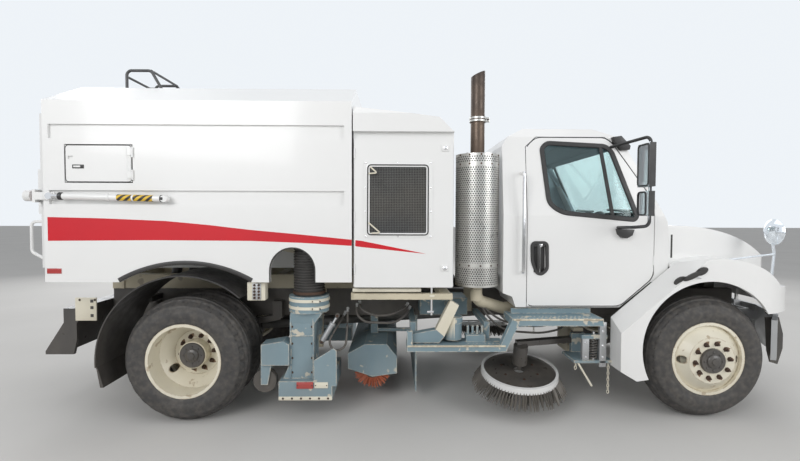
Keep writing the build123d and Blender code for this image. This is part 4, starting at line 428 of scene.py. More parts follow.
x_front, x_rear = 2.314, -2.004
axles = (("front", x_front), ("rear", x_rear))
wheel_z = 0.512
hub_reach = 0.108
cab_half = 1.020
half_width = 1.220
sides = (("right", -1), ("left", 1))
for side, _ in sides:
    for axle, axle_x in axles:
        share_out(f"rim_{axle}_{side}", (
            "black_paint", lambda m, n: sqrt((m.x - axle_x) ** 2 + (m.z - wheel_z) ** 2) < hub_reach))

# %% [markdown]
# Every added piece is made the same way: a function fills an empty mesh with shapes, and one call turns
# the mesh into an object that rides on a body of the truck. The first tools make a box with rounded
# edges, a turned form and a rod. Round forms are rings of points with faces between each ring and the
# next. Each tool notes which finish its faces take. A bevel makes faces of its own, so a box first marks
# the faces that are there already, and then finishes all the others.

# %% Make the shape tools
# Directions, as seen from the right-hand side that is drawn
outward, inward, upward = (0, -1, 0), (0, 1, 0), (0, 0, 1)
to_nose, to_tail = (1, 0, 0), (-1, 0, 0)


def mark_old(form):
    """Marks the faces that are there already, so that the ones made next can be told apart."""
    old = form.faces.layers.int.get("old") or form.faces.layers.int.new("old")
    for face in form.faces:
        face[old] = 1
    return old


def paint_new(form, old, finish):
    """Gives the faces made since then their finish number."""
    for face in form.faces:
        if not face[old]:
            face.material_index = finish


def soften(form, edges, reach):
    """Rounds edges off in two steps."""
    bmesh.ops.bevel(form, geom=edges, offset=reach, segments=2, profile=0.5, affect="EDGES")


def settle(form, faces, finish):
    """Turns faces outward and gives them their finish number."""
    bmesh.ops.recalc_face_normals(form, faces=faces)
    for face in faces:
        face.material_index = finish


def lift(distance):
    """A step straight up."""
    return Vector((0, 0, distance))


def across_axis(axis):
    """Two directions at right angles to an axis and to each other."""
    axis = Vector(axis).normalized()
    first = axis.cross(Vector((0, 0, 1)) if abs(axis.z) < 0.9 else Vector((1, 0, 0))).normalized()
    return first, axis.cross(first)


def circle(middle, first, second, count):
    """Points round a middle, spaced evenly on a ring or oval with two half-axes."""
    return [middle + first * cos(tau * k / count) + second * sin(tau * k / count) for k in range(count)]


def join_rings(form, rings, closed=False):
    """Faces between each ring of corners and the next. A ring of one corner is a tip."""
    made = []
    for low, high in list(zip(rings, rings[1:])) + ([(rings[-1], rings[0])] if closed else []):
        count = max(len(low), len(high))
        for i in range(count):
            j = (i + 1) % count
            corners = [low[i % len(low)], low[j % len(low)], high[j % len(high)], high[i % len(high)]]
            corners = list(dict.fromkeys(corners))
            if len(corners) > 2:
                made.append(form.faces.new(corners))
    return made


def box(form, low, high, soft=0.004, finish=0):
    """A box between two corners with softened edges."""
    before = mark_old(form)
    made = bmesh.ops.create_cube(form, size=1)["verts"]
    size = [abs(b - a) for a, b in zip(low, high)]
    middle = [(a + b) / 2 for a, b in zip(low, high)]
    for corner in made:
        corner.co = Vector([c * s + m for c, s, m in zip(corner.co, size, middle)])
    soft = min(soft, min(size) * 0.3)
    if soft > 0:
        soften(form, list({edge for corner in made for edge in corner.link_edges}), soft)
    paint_new(form, before, finish)


def turned(form, profile, centre, axis, sides=32, finish=0, closed=False):
    """A turned form. The profile gives (radius, distance along the axis); a closed one joins up."""
    centre, axis = Vector(centre), Vector(axis).normalized()
    out, over = across_axis(axis)
    rings = [
        [form.verts.new(point) for point in circle(centre + axis * along, out * radius, over * radius, sides)]
        if radius > 0 else [form.verts.new(centre + axis * along)]
        for radius, along in profile
    ]
    settle(form, join_rings(form, rings, closed), finish)


def rod(form, start, end, radius, sides=12, finish=0):
    """A round bar with softened ends."""
    start, end = Vector(start), Vector(end)
    length = (end - start).length
    soft = min(radius * 0.25, length * 0.2)
    inner = radius - soft
    profile = [(0, 0), (inner, 0), (radius, soft), (radius, length - soft), (inner, length), (0, length)]
    turned(form, profile, start, end - start, sides, finish)


print("boxes, turned forms and rods ready")

# %% [markdown]
# Trim and pipes follow a path: a list of points whose corners are rounded to arcs. An outline is carried
# along the path, turned at each point to face along it, and its rings are joined. A tube has a round
# outline. A strip has a flat one and lies on a surface, and a gasket is a strip all round a shape. A
# plate is simpler: a drawn outline made solid straight through.

# %% Make the path tools
def rounded(points, radius, steps=5, closed=False):
    """A list of points with each corner rounded to an arc."""
    points = [Vector(point) for point in points]
    count = len(points)
    out = [] if closed else [points[0]]
    for i in range(count) if closed else range(1, count - 1):
        here = points[i]
        back = points[i - 1] - here
        ahead = points[(i + 1) % count] - here
        reach = min(radius, back.length * 0.45, ahead.length * 0.45)
        first, last = here + back.normalized() * reach, here + ahead.normalized() * reach
        for k in range(steps + 1):
            t = k / steps
            out.append(first * (1 - t) ** 2 + here * 2 * t * (1 - t) + last * t * t)
    return out if closed else out + [points[-1]]


def sweep(form, points, section, up, closed=False, finish=0):
    """Carries a flat outline along points. The outline gives (sideways, upward) from the path."""
    points = [Vector(point) for point in points]
    count = len(points)
    rings = []
    for i, here in enumerate(points):
        back = here - points[i - 1] if (closed or i) else points[1] - here
        ahead = points[(i + 1) % count] - here if (closed or i < count - 1) else back
        along = (back.normalized() + ahead.normalized()).normalized()
        normal = up(here, along) if callable(up) else Vector(up)
        side = along.cross(normal).normalized()
        normal = side.cross(along).normalized()
        widen = 1 / max(0.5, along.dot(ahead.normalized()))
        rings.append([form.verts.new(here + side * s * widen + normal * u) for s, u in section])
    made = join_rings(form, rings, closed)
    if not closed:
        made += [form.faces.new(rings[0][::-1]), form.faces.new(rings[-1])]
    settle(form, made, finish)


def tube(form, points, radius, sides=10, closed=False, finish=0):
    """A round bar along points."""
    section = [(radius * cos(tau * i / sides), radius * sin(tau * i / sides)) for i in range(sides)]

    def steady(here, along):
        return Vector(upward if abs(along.z) < 0.8 else inward)
    sweep(form, points, section, steady, closed, finish)


def strip(form, points, out, width, height, closed=False, finish=0, sunk=0.006):
    """A flat strip with rounded shoulders that stands a little proud of a surface facing out."""
    half = width / 2
    shoulder = [(-half, -sunk), (-half, height * 0.5), (-half * 0.72, height)]
    sweep(form, points, shoulder + [(-s, u) for s, u in shoulder[::-1]], out, closed, finish)


def gasket(form, corners, radius, out, width, height, finish=0, steps=5, sunk=0.006):
    """A strip all round an outline with rounded corners."""
    strip(form, rounded(corners, radius, steps, closed=True), out, width, height, True, finish, sunk)


def plate(form, outline, low, high, plane="xz", finish=0, soft=0.0):
    """A drawn outline made solid between two values of the third direction."""
    before = mark_old(form)
    across, along, deep = {"xz": (0, 2, 1), "yz": (1, 2, 0)}[plane]

    def corners(depth):
        for point in outline:
            spot = Vector()
            spot[across], spot[along], spot[deep] = *point, depth
            yield form.verts.new(spot)
    near, far = list(corners(low)), list(corners(high))
    ends = [form.faces.new(near), form.faces.new(far)]
    bmesh.ops.recalc_face_normals(form, faces=ends + join_rings(form, [near, far]))
    if soft:
        soften(form, list({edge for face in ends for edge in face.edges}), soft)
    paint_new(form, before, finish)


def bolt(form, place, out, size=0.012, finish=0):
    """A six-sided bolt head on its washer."""
    washer = [(0, -0.002), (size * 1.25, -0.002), (size * 1.25, size * 0.15), (0, size * 0.15)]
    turned(form, washer, place, out, 14, finish)
    turned(form, [(size, 0), (size, size * 0.62), (size * 0.82, size * 0.8), (0, size * 0.8)], place, out, 6, finish)


print("tubes, strips, gaskets, plates and bolts ready")

# %% [markdown]
# A piece also needs its body, its finishes and, where it stands for a solid, that solid's name. Most of
# the truck is alike on both sides, so those pieces are drawn once for the right-hand side and mirrored
# for the left. Small parts are set on the solids by casting a ray at them, which finds the true surface.

# %% Turn shapes into pieces
# How far out to the side and beyond the ends the rays start
ray_side, ray_end = 2.0, 3.8


def piece(name, draw, finishes, body, slot=None, stands_for=(), flipped=False, crisp=35):
    """Draws a mesh and makes it a piece on a body. A piece given no body is left unattached."""
    form = bmesh.new()
    draw(form)
    if flipped:
        bmesh.ops.transform(form, matrix=Matrix.Scale(-1, 4, (0, 1, 0)), verts=form.verts)
        bmesh.ops.reverse_faces(form, faces=form.faces)
    old = form.faces.layers.int.get("old")
    if old:
        form.faces.layers.int.remove(old)
    mesh = bpy.data.meshes.new(name)
    form.to_mesh(mesh)
    form.free()
    for finish in finishes:
        mesh.materials.append(looks[finish])
    mesh.shade_smooth()
    mesh.set_sharp_from_angle(angle=radians(crisp))
    obj = bpy.data.objects.new(name, mesh)
    scene.collection.objects.link(obj)
    if body:
        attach(obj, body)
    slot or finishes[0]
    if stands_for:
        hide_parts(*stands_for)
    print(name, "triangles", sum(len(face.vertices) - 2 for face in mesh.polygons))
    return obj


def both_pieces(name, draw, finishes, body, slot=None, stands_for=(), crisp=35):
    """The same piece on the right, as drawn, and mirrored on the left."""
    return [
        piece(f"{name}_{side}", draw, finishes, body and body.format(side=side), slot,
              [node.format(side=side) for node in stands_for], side == "left", crisp)
        for side, _ in sides
    ]


def touch(node, start, toward):
    """Where a ray first meets a solid of the frame."""
    hit, spot, _, _ = nodes[node].ray_cast(Vector(start), Vector(toward).normalized())
    if not hit:
        raise ValueError(f"no surface of {node} from {start}")
    return spot


def side_face(node, x, z):
    """Where a solid is first met from the right-hand side."""
    return touch(node, (x, -ray_side, z), inward)


def tail_face(node, y, z):
    """Where a solid is first met from behind."""
    return touch(node, (-ray_end, y, z), to_nose)


def nose_face(node, y, z):
    """Where a solid is first met from the front."""
    return touch(node, (ray_end, y, z), to_tail)


print("right wheel disc at", round(side_face("rim_front_right", x_front, wheel_z + 0.14).y, 3))


# %% [markdown]
# A truck tyre is a turned form with a pattern cut into its running surface. The front tyres have
# straight ribs, which roll quietly, and the driven rear ones have blocks, which grip. The tyre is drawn as
# a cross-section that is carried round the axle in small steps. Where a point lies in a groove it sits
# lower, and every few steps the shoulders are notched: deeply at the rear, which makes the blocks, and
# only along the edge at the front. The side wall has a few raised rings and a bead beside the rim.

# %% Mould the tyres
tyre_reach = 0.512
bead_reach = 0.292
tread_half = 0.108
groove_depth = 0.012
# Straight grooves, as shares of the tread's half width
groove_half, groove_places = 0.043, (0.25, 0.667)
wheel_steps = 168


def tyre_section():
    """Half of the cross-section from the middle of the tread to the bead: (radius, across)."""
    tread = [(tyre_reach - 0.00035 * k * k, tread_half * k / 12) for k in range(13)]
    wall = [
        (tyre_reach - 0.0552, 0.1165), (tyre_reach - 0.062, 0.122), (tyre_reach - 0.074, 0.127),
        (tyre_reach - 0.080, 0.1265), (tyre_reach - 0.110, 0.1340), (tyre_reach - 0.118, 0.1360),
        (tyre_reach - 0.150, 0.1352), (tyre_reach - 0.156, 0.1335), (0.330, 0.128), (0.322, 0.1275),
        (0.312, 0.122), (0.304, 0.114), (bead_reach + 0.004, 0.104), (bead_reach, 0.094),
    ]
    return tread + wall


def tyre(form, centre, blocks):
    """One tyre about an axle along Y, with ribs or with blocks on its shoulders."""
    half = tyre_section()
    section = [(r, -v) for r, v in half[:0:-1]] + half
    notch = 0.55 if blocks else 0.92
    rings = []
    for i in range(wheel_steps):
        angle = tau * i / wheel_steps
        ring = []
        for r, v in section:
            place = abs(v) / tread_half
            in_groove = any(abs(place - at) < groove_half for at in groove_places)
            in_notch = place > notch and (i + (3 if v > 0 else 0)) % 6 < 2
            if place <= 1.0 and (in_groove or in_notch):
                r -= groove_depth
            ring.append(form.verts.new((centre[0] + r * sin(angle), centre[1] + v, centre[2] + r * cos(angle))))
        rings.append(ring)
    for low, high in zip(rings, rings[1:] + rings[:1]):
        for k in range(len(section) - 1):
            form.faces.new([low[k], low[k + 1], high[k + 1], high[k]])


wheel_y = {"front": (1.030,), "rear": (1.080, 0.737)}
for axle, axle_x in axles:
    def draw_tyres(form, axle=axle, axle_x=axle_x):
        for y in wheel_y[axle]:
            tyre(form, (axle_x, -y, wheel_z), axle == "rear")
        bmesh.ops.recalc_face_normals(form, faces=form.faces)
    both_pieces(f"tyre_tread_{axle}", draw_tyres, ["tyre_rubber"], f"wheel_{axle}_{{side}}",
                stands_for=[f"tyre_{axle}_{{side}}"], crisp=28)

# %% [markdown]
# Ten nuts hold each wheel. On this old truck they are dark with rust, and beside each is a painted shadow,
# a brown teardrop that runs outward from it. The hub in the middle is black, with a ring of small bolts, a
# raised cap and a filler plug. Every nut is set on the disc with a ray, so the dished rear wheel works as the
# front does. The painted shadow could be a texture, but a thin flat sheet stays beside its nut on every wheel.

# %% Bolt the wheels on
# How far a painted shadow or a film of vinyl stands off its surface
film = 0.0008
nut_circle = 0.143
hub_bolt_circle = 0.074


def wheel_fixings(form, axle, axle_x, node):
    """Nuts, their painted shadows, hub bolts and cap of a right-hand wheel."""
    for i in range(10):
        angle = tau * (i + 0.35) / 10
        way = Vector((sin(angle), 0, cos(angle)))
        spot = Vector((axle_x, -ray_side, wheel_z)) + way * nut_circle
        face = touch(node, spot, inward)
        turned(form, [(0.021, -0.002), (0.021, 0.003), (0.016, 0.005), (0.0155, 0.020), (0.012, 0.024), (0, 0.024)],
               face, outward, 6, 0)
        turned(form, [(0.008, 0.02), (0.008, 0.036), (0, 0.037)], face, outward, 10, 0)
        # The painted shadow of the nut runs outward, bent forward and a little down
        down = (way + Vector((0.9, 0, -0.35))).normalized()
        over = Vector((-down.z, 0, down.x))
        proud = face + Vector(outward) * film
        outline = ((0, 0.021), (0.020, 0.016), (0.042, 0), (0.020, -0.016), (0, -0.021), (-0.019, 0))
        shadow_face = form.faces.new([form.verts.new(proud + down * along + over * side) for along, side in outline])
        shadow_face.material_index = 2
    middle = Vector((axle_x, side_face(node, axle_x, wheel_z + 0.05).y, wheel_z))
    for i in range(8):
        angle = tau * i / 8
        bolt(form, middle + Vector((sin(angle), 0, cos(angle))) * hub_bolt_circle, outward, 0.0085, 1)
    turned(form, [(0.056, 0), (0.056, 0.008), (0.050, 0.014), (0.030, 0.018), (0.026, 0.026), (0, 0.028)],
           middle, outward, 28, 1)


for axle, axle_x in axles:
    def draw_fixings(form, axle=axle, axle_x=axle_x):
        wheel_fixings(form, axle, axle_x, f"rim_{axle}_right")
    both_pieces(f"wheel_nuts_{axle}", draw_fixings, ["rusty_steel", "black_paint", "painted_nut_shadow"],
                f"wheel_{axle}_{{side}}", slot="stack_steel")

# %% [markdown]
# A suction hose is a tube of rubber over a wire helix, so its surface is a row of rings. One turned form
# makes them all, from a profile of small waves. The hose's top stays with the chassis and its foot with
# the nozzle, which lifts, but here the hose rides on neither body and stays where it is drawn.

# %% Wind the suction hoses
nozzle_x, nozzle_y = -1.016, 1.020
hose_low, hose_high = 1.030, 1.470
hose_reach = 0.130
hose_pitch = 0.022


def draw_hose(form):
    """A corrugated upright hose with a plain cuff at each end."""
    rings = int((hose_high - hose_low) / hose_pitch)
    profile = [(hose_reach - 0.012, 0)]
    for k in range(rings):
        at = (k + 0.5) * hose_pitch
        profile += [(hose_reach - 0.011, at - 0.36 * hose_pitch), (hose_reach, at - 0.16 * hose_pitch),
                    (hose_reach, at + 0.16 * hose_pitch), (hose_reach - 0.011, at + 0.36 * hose_pitch)]
    profile.append((hose_reach - 0.012, hose_high - hose_low))
    turned(form, profile, (nozzle_x, -nozzle_y, hose_low), upward, 40, 0)


hoses = both_pieces("suction_hose_skin", draw_hose, ["hose_rubber"], None, stands_for=["suction_hose_{side}"], crisp=50)
for hose, (side, sign) in zip(hoses, sides):
    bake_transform(hose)
print("hose rings", int((hose_high - hose_low) / hose_pitch))

# %% [markdown]
# A gutter broom is a steel disc with tufts of wire set near its rim. The tufts splay outward and bend at
# the tip where they drag on the road, and no two end at quite the same place. Each tuft is a tapered
# three-sided spike along a short bent path: three sides are enough for so thin a form and keep the faces
# few. The black disc carries a pale ring round its rim and six bolts on its upper face.

# %% Fill the gutter brooms
broom_centre = Vector((0.804, -0.900, 0.335))
broom_tilt = radians(11)
disc_reach = 0.330
# Each row of tufts: where it is rooted, how far it reaches, and its share of the depth
tuft_rows = ((0.318, 0.412, 1.0), (0.290, 0.375, 0.97), (0.255, 0.335, 0.94))
broom_depth = 0.146
broom_axis = Vector((0, sin(broom_tilt), -cos(broom_tilt)))


def spike(form, points, radii):
    """A three-sided spike through points with a radius at each."""
    rings = []
    for i, (here, reach) in enumerate(zip(points, radii)):
        a, b = across_axis(points[min(i + 1, len(points) - 1)] - points[max(i - 1, 0)])
        rings.append([form.verts.new(point) for point in circle(here, a * reach, b * reach, 3)])
    join_rings(form, rings)


def draw_gutter_broom(form):
    """Disc, pale ring and rows of tufts about the tilted axis."""
    box_low, box_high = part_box("gutter_broom_right")
    centre = Vector(((box_low[0] + box_high[0]) / 2, broom_centre.y, broom_centre.z))
    out, over = across_axis(broom_axis)
    for row, (root, reach, share) in enumerate(tuft_rows):
        count = 84 - 12 * row
        for i in range(count):
            angle = tau * (i + 0.5 * (row % 2)) / count + random.uniform(-0.012, 0.012)
            way = out * cos(angle) + over * sin(angle)
            drag = out * -sin(angle) + over * cos(angle)
            depth = broom_depth * share * random.uniform(0.955, 0.99)
            end = reach * random.uniform(0.965, 0.995)
            lean = random.uniform(0.00, 0.03)
            points = [
                centre + way * root + broom_axis * 0.012,
                centre + way * (root + (end - root) * 0.45) + broom_axis * depth * 0.5 + drag * lean * 0.3,
                centre + way * end + broom_axis * depth + drag * lean,
            ]
            spike(form, points, (0.0105, 0.0115, 0.004))
    disc = [(0.05, -0.006), (disc_reach - 0.04, -0.006), (disc_reach - 0.008, -0.001), (disc_reach - 0.004, 0.010),
            (disc_reach - 0.012, 0.022), (0.24, 0.026), (0.05, 0.026)]
    ring = [(disc_reach - 0.022, -0.020), (disc_reach, -0.018), (disc_reach + 0.004, 0.034),
            (disc_reach - 0.018, 0.034)]
    for finish, profile in ((1, disc), (2, ring)):
        turned(form, profile, centre, broom_axis, 72, finish, closed=True)
    for spot in circle(centre - broom_axis * 0.006, out * 0.16, over * 0.16, 6):
        bolt(form, spot, -broom_axis, 0.010, 3)


both_pieces("gutter_bristles", draw_gutter_broom, ["dark_bristle", "black_paint", "white_paint", "rusty_steel"],
            "side_broom_{side}", stands_for=["gutter_broom_{side}"])

# %% [markdown]
# The cross broom is a drum of orange plastic bristles. Seen from the side it is a disc of fine spokes
# with a ragged rim. Its bristles are set in five bands that wind round the drum, so the tufts nearly
# cover it and the bands still show as ridges.

# %% Fill the cross broom
roller_x, roller_z, roller_half, roller_reach = -0.493, 0.312, 0.800, 0.180
stations = 64


def draw_roller(form):
    """Core with a hole for its shaft, and wound rows of bristles."""
    turned(form, [(0.03, -roller_half), (0.075, -roller_half), (0.075, roller_half), (0.03, roller_half)],
           (roller_x, 0, roller_z), inward, 24, 1, closed=True)
    for k in range(stations):
        y = -roller_half + 0.012 + (2 * roller_half - 0.024) * k / (stations - 1)
        wind = 1.6 * y
        around = 50 if k in (0, 1, stations - 2, stations - 1) else 40
        for i in range(around):
            angle = tau * i / around + wind
            band = 0.5 + 0.5 * cos(5 * (angle - 2 * wind))
            reach = roller_reach - 0.004 - 0.012 * (1 - band) - random.uniform(0, 0.006)
            way = Vector((cos(angle), 0, sin(angle)))
            drag = Vector((-sin(angle), 0, cos(angle)))
            base = Vector((roller_x, y, roller_z))
            end = base + way * reach + drag * random.uniform(-0.01, 0.02)
            end.y += random.uniform(-0.006, 0.006)
            end.y = max(-roller_half + 0.003, min(roller_half - 0.003, end.y))
            spike(form, [base + way * 0.06, end], (0.007, 0.0045))


piece("cross_bristles", draw_roller, ["orange_bristle", "black_plastic"], "cross_broom", stands_for=["extension_broom"])

# %% [markdown]
# The cab's windows sit in thick black rubber. A strip with rounded shoulders is carried round each
# opening. The door leans inward above its waist, so one small function gives the door skin's distance
# from the middle at any height, and every part of the door uses it. A bar of rubber parts the small
# vent window from the rest.

# %% Seal the doors' windows
lean_start, lean_end = 1.700, 2.380
roof_half = 0.920
lean = (cab_half - roof_half) / (lean_end - lean_start)


def door_skin(z):
    """How far the door's outer face is from the middle at a height."""
    return cab_half - max(0.0, z - lean_start) * lean


def on_door(x, z, proud=0.0):
    """A point on the right-hand door's outer face."""
    return Vector((x, -door_skin(z) - proud, z))


def along_door(line, proud=0.0):
    """A line of points on the right-hand door's outer face."""
    return [on_door(x, z, proud) for x, z in line]


def door_out(here, along):
    """The way out of the door's skin at a point."""
    return Vector((0, -1, lean if here.z > lean_start else 0)).normalized()


window_line = [(1.014, 1.800), (1.124, 1.725), (1.739, 1.668), (1.759, 1.700), (1.569, 2.255),
               (1.514, 2.300), (1.014, 2.325), (0.966, 2.280)]
vent_bar = [(1.475, 2.290), (1.554, 1.690)]
door_line = [(0.829, 0.930), (1.626, 0.930), (1.884, 1.152), (1.909, 1.200), (1.909, 1.830), (1.579, 2.330),
             (1.514, 2.375), (0.919, 2.375), (0.829, 2.290)]


def draw_door_rubber(form):
    """Rubber round the door's window, its vent bar, and a thin seam just inside the door's edge."""
    gasket(form, along_door(window_line), 0.07, door_out, 0.040, 0.010)
    strip(form, along_door(vent_bar), door_out, 0.030, 0.008)
    gasket(form, along_door(door_line), 0.05, door_out, 0.007, 0.0008, steps=4)


both_pieces("door_rubber", draw_door_rubber, ["window_rubber"], "cab_door_{side}", slot="black_plastic")

# %% [markdown]
# The windscreen leans back and narrows toward its head. A point on it is found from two shares, one
# across and one up, so its rubber and its wipers lie on the same slanted plane. A wiper is a bent arm on
# a spindle and a blade that stands on the glass.

# %% Seal the windscreen and the rear window
screen_foot, screen_head = Vector((2.024, 0, 1.650)), Vector((1.659, 0, 2.370))
screen_up = (screen_head - screen_foot).normalized()
screen_out = Vector((screen_up.z, 0, -screen_up.x))
screen_half_foot, screen_half_head = 0.910, 0.830


def on_screen(side, share, proud=0.0):
    """A point on the windscreen: side from -1 to 1, share from its foot to its head."""
    spot = screen_foot + (screen_head - screen_foot) * (0.085 + 0.85 * share) + screen_out * proud
    spot.y += side * (screen_half_foot + (screen_half_head - screen_half_foot) * share)
    return spot


def draw_screen_rubber(form):
    """Rubber round the windscreen and the rear window, with two wipers."""
    corners = [on_screen(-1, 0), on_screen(1, 0), on_screen(1, 1), on_screen(-1, 1)]
    gasket(form, corners, 0.08, screen_out, 0.046, 0.010)
    rear = touch("cab_shell", (-0.2, 0.0, 1.70), to_nose).x
    pane = [(rear, -0.42, 1.75), (rear, 0.42, 1.75), (rear, 0.42, 2.20), (rear, -0.42, 2.20)]
    gasket(form, pane, 0.06, to_tail, 0.040, 0.010)
    for foot, tip in ((-0.62, -0.10), (0.30, 0.82)):
        pivot, end = on_screen(foot, -0.075, 0.030), on_screen(tip, 0.06, 0.030)
        arm = [pivot, pivot + screen_out * 0.02, on_screen((foot + tip) / 2, 0.0, 0.040), end]
        tube(form, arm, 0.007, 8, finish=1)
        blade = [on_screen(foot + 0.12, 0.045, 0.012), on_screen(tip + 0.10, 0.075, 0.012)]
        strip(form, blade, screen_out, 0.016, 0.022, finish=1)
        turned(form, [(0.02, -0.02), (0.02, 0.02), (0.012, 0.028), (0, 0.028)], pivot, screen_out, 16, 1)


piece("screen_rubber", draw_screen_rubber, ["window_rubber", "black_plastic"], "chassis", slot="black_plastic")
print("windscreen leans back", round(screen_foot.x - screen_head.x, 3), "m")

# %% [markdown]
# The door handle is a D-shaped black cup with a bar down its middle, and a small silver lock sits in its
# top. The mirror's two heads are glass in dark housings, and chunky black feet hold their loop to the
# door. The door slopes, so the handle's points come from the same function as the window's. Small parts
# like these tell the eye how big a truck is.

# %% Fit the door's handle, lock and mirrors
handle_x, handle_low, handle_high = 0.934, 1.215, 1.465


def draw_handle(form):
    """Cup rim, pull bar and lock of the right-hand door."""
    x, low, high = handle_x, handle_low, handle_high
    rim = [(x - 0.062, low + 0.09), (x - 0.066, high + 0.005), (x + 0.062, high + 0.005),
           (x + 0.066, low + 0.03), (x + 0.020, low - 0.012), (x - 0.020, low - 0.005)]
    gasket(form, along_door(rim), 0.035, door_out, 0.028, 0.010)
    box(form, (x - 0.0495, -cab_half + 0.020, low + 0.001), (x + 0.0495, -cab_half + 0.032, high - 0.001), 0.002)
    box(form, (x - 0.060, -cab_half - 0.004, high - 0.030), (x + 0.060, -cab_half + 0.004, high + 0.001), 0.002)
    tube(form, [on_door(x - 0.012, low + 0.005, -0.004), on_door(x - 0.014, low + 0.05, 0.016),
                on_door(x - 0.014, high - 0.05, 0.016), on_door(x - 0.012, high - 0.005, -0.004)], 0.013, 10)
    turned(form, [(0.017, -0.004), (0.017, 0.004), (0.013, 0.006), (0.005, 0.006), (0.004, 0.003), (0, 0.003)],
           on_door(x + 0.005, high - 0.016, 0.003), outward, 20, 1)


both_pieces("door_handle", draw_handle, ["black_plastic", "rod_chrome"], "cab_door_{side}")
mirror_y = 1.280
# Each head: top, bottom, and its two edges from the middle of the loop
mirror_heads = [(2.270, 1.930, -0.085, 0.085), (1.895, 1.700, -0.052, 0.080)]
# Chunky feet of the mirror's loop, above and below the window
loop_feet = [
    [(1.571, 2.375), (1.640, 2.385), (1.721, 2.300), (1.715, 2.268), (1.640, 2.262), (1.580, 2.335)],
    [(1.577, 1.590), (1.722, 1.585), (1.705, 1.535), (1.660, 1.510), (1.620, 1.515), (1.590, 1.545)],
]
for side, sign in sides:
    share_out(
        f"door_{side}",
        ("black_plastic", lambda m, n: abs(m.y) > cab_half + 0.012 and m.x > 1.5),
        ("mirror_finish",
         lambda m, n: abs(m.y) > cab_half + 0.165 and m.x > 1.5 and n.x < -0.5 and abs(m.z - 1.985) < 0.30),
        ("cab_liner", lambda m, n: n.y * sign < -0.5 and abs(m.y) < cab_half - 0.01),
    )


def draw_mirror_rims(form):
    """Raised rims round the mirror glasses, and the feet of the mirror's loop."""
    for high, low, near, far in mirror_heads:
        back = touch("door_right", (1.2, -mirror_y + (near + far) / 2, (high + low) / 2), to_nose).x
        rim = 0.008
        inner, outer, foot, top = -mirror_y + far - rim, -mirror_y + near + rim, low + rim, high - rim
        corners = [(back, outer, foot), (back, inner, foot), (back, inner, top), (back, outer, top)]
        gasket(form, corners, 0.03, to_tail, 0.012, 0.008, steps=4)
    for outline in loop_feet:
        out = door_skin(sum(z for _, z in outline) / len(outline))
        plate(form, outline, -out - 0.045, -out + 0.012, soft=0.006)


both_pieces("mirror_rims", draw_mirror_rims, ["black_plastic"], "cab_door_{side}")

# %% [markdown]
# The red stripe runs the length of the body: a long leaf shape that starts deep at the tail and ends in a
# point on the engine's door. It is vinyl film that stands under a millimetre proud, cut where the hopper
# ends and the door begins. It could be a second colour in the paint, but a form of its own has a sharp
# edge at any distance. The part on each body rides with that body.

# %% Stick on the red stripe
hopper_stripe = [
    (-3.044, 1.678), (-2.600, 1.668), (-2.122, 1.649), (-1.780, 1.618), (-1.450, 1.580), (-1.040, 1.543),
    (-0.641, 1.503), (-0.641, 1.454), (-1.040, 1.477), (-1.451, 1.492), (-2.200, 1.496), (-3.044, 1.489),
]
door_stripe = [(-0.612, 1.500), (-0.560, 1.494), (-0.046, 1.391), (-0.560, 1.444), (-0.612, 1.451)]


def draw_hopper_stripe(form):
    """The long part of the stripe, on the hopper."""
    plate(form, hopper_stripe, -half_width - film, -half_width + 0.002)


def draw_door_stripe(form):
    """The pointed end of the stripe, on the engine's door."""
    plate(form, door_stripe, -half_width - film, -half_width + 0.002)


both_pieces("stripe_hopper", draw_hopper_stripe, ["red_vinyl"], "hopper", slot="white_paint")
both_pieces("stripe_door", draw_door_stripe, ["red_vinyl"], "housing_door_{side}", slot="white_paint")

# %% [markdown]
# Two sleeves with yellow and black slashes mark the cylinder that moves the tail door. Each is a thin ring
# round the barrel, and its slashes are faces that step one place round with every row. A dark collar
# sits at each end of the barrel.

# %% Wrap the hazard bands
barrel_start, barrel_end = Vector((-2.103, -1.252, 1.824)), Vector((-3.005, -1.252, 1.844))
barrel_way = (barrel_end - barrel_start).normalized()
row_step, around, sleeve_reach = 0.0075, 24, 0.0252
# Each sleeve: how far along the barrel it starts, and its rows of faces
sleeves = ((0.090, 20), (0.255, 15))


def draw_hazard(form):
    """Two striped sleeves and two collars round the right-hand barrel."""
    out, over = across_axis(barrel_way)
    for start, rows in sleeves:
        rings = []
        for k in range(rows + 1):
            middle = barrel_start + barrel_way * (start + k * row_step)
            rings.append([form.verts.new(p) for p in circle(middle, out * sleeve_reach, over * sleeve_reach, around)])
        for place, face in enumerate(join_rings(form, rings)):
            face.material_index = 0 if (place % around + place // around) % 8 < 4 else 1
    bmesh.ops.recalc_face_normals(form, faces=form.faces)
    for collar in ([(0.0246, 0.792), (0.030, 0.800), (0.030, 0.822), (0.020, 0.826)],
                   [(0.0246, 0.0), (0.0285, 0.004), (0.0285, 0.030), (0.0246, 0.034)]):
        turned(form, collar, barrel_start, barrel_way, 24, 1)


both_pieces("hazard_bands", draw_hazard, ["hazard_yellow", "window_rubber"], "tailgate_barrels", slot="white_paint")

# %% [markdown]
# The hopper's inspection door has a black gasket, a hinge with rivets along its front edge and a slot
# latch at its rear. The engine's doors have a screen behind a frame with screws, two bent prop rods
# beside it, and quarter-turn latches. The screen is a real grid of wires in front of a dark back, because
# a pattern in the material would look flat from the side.

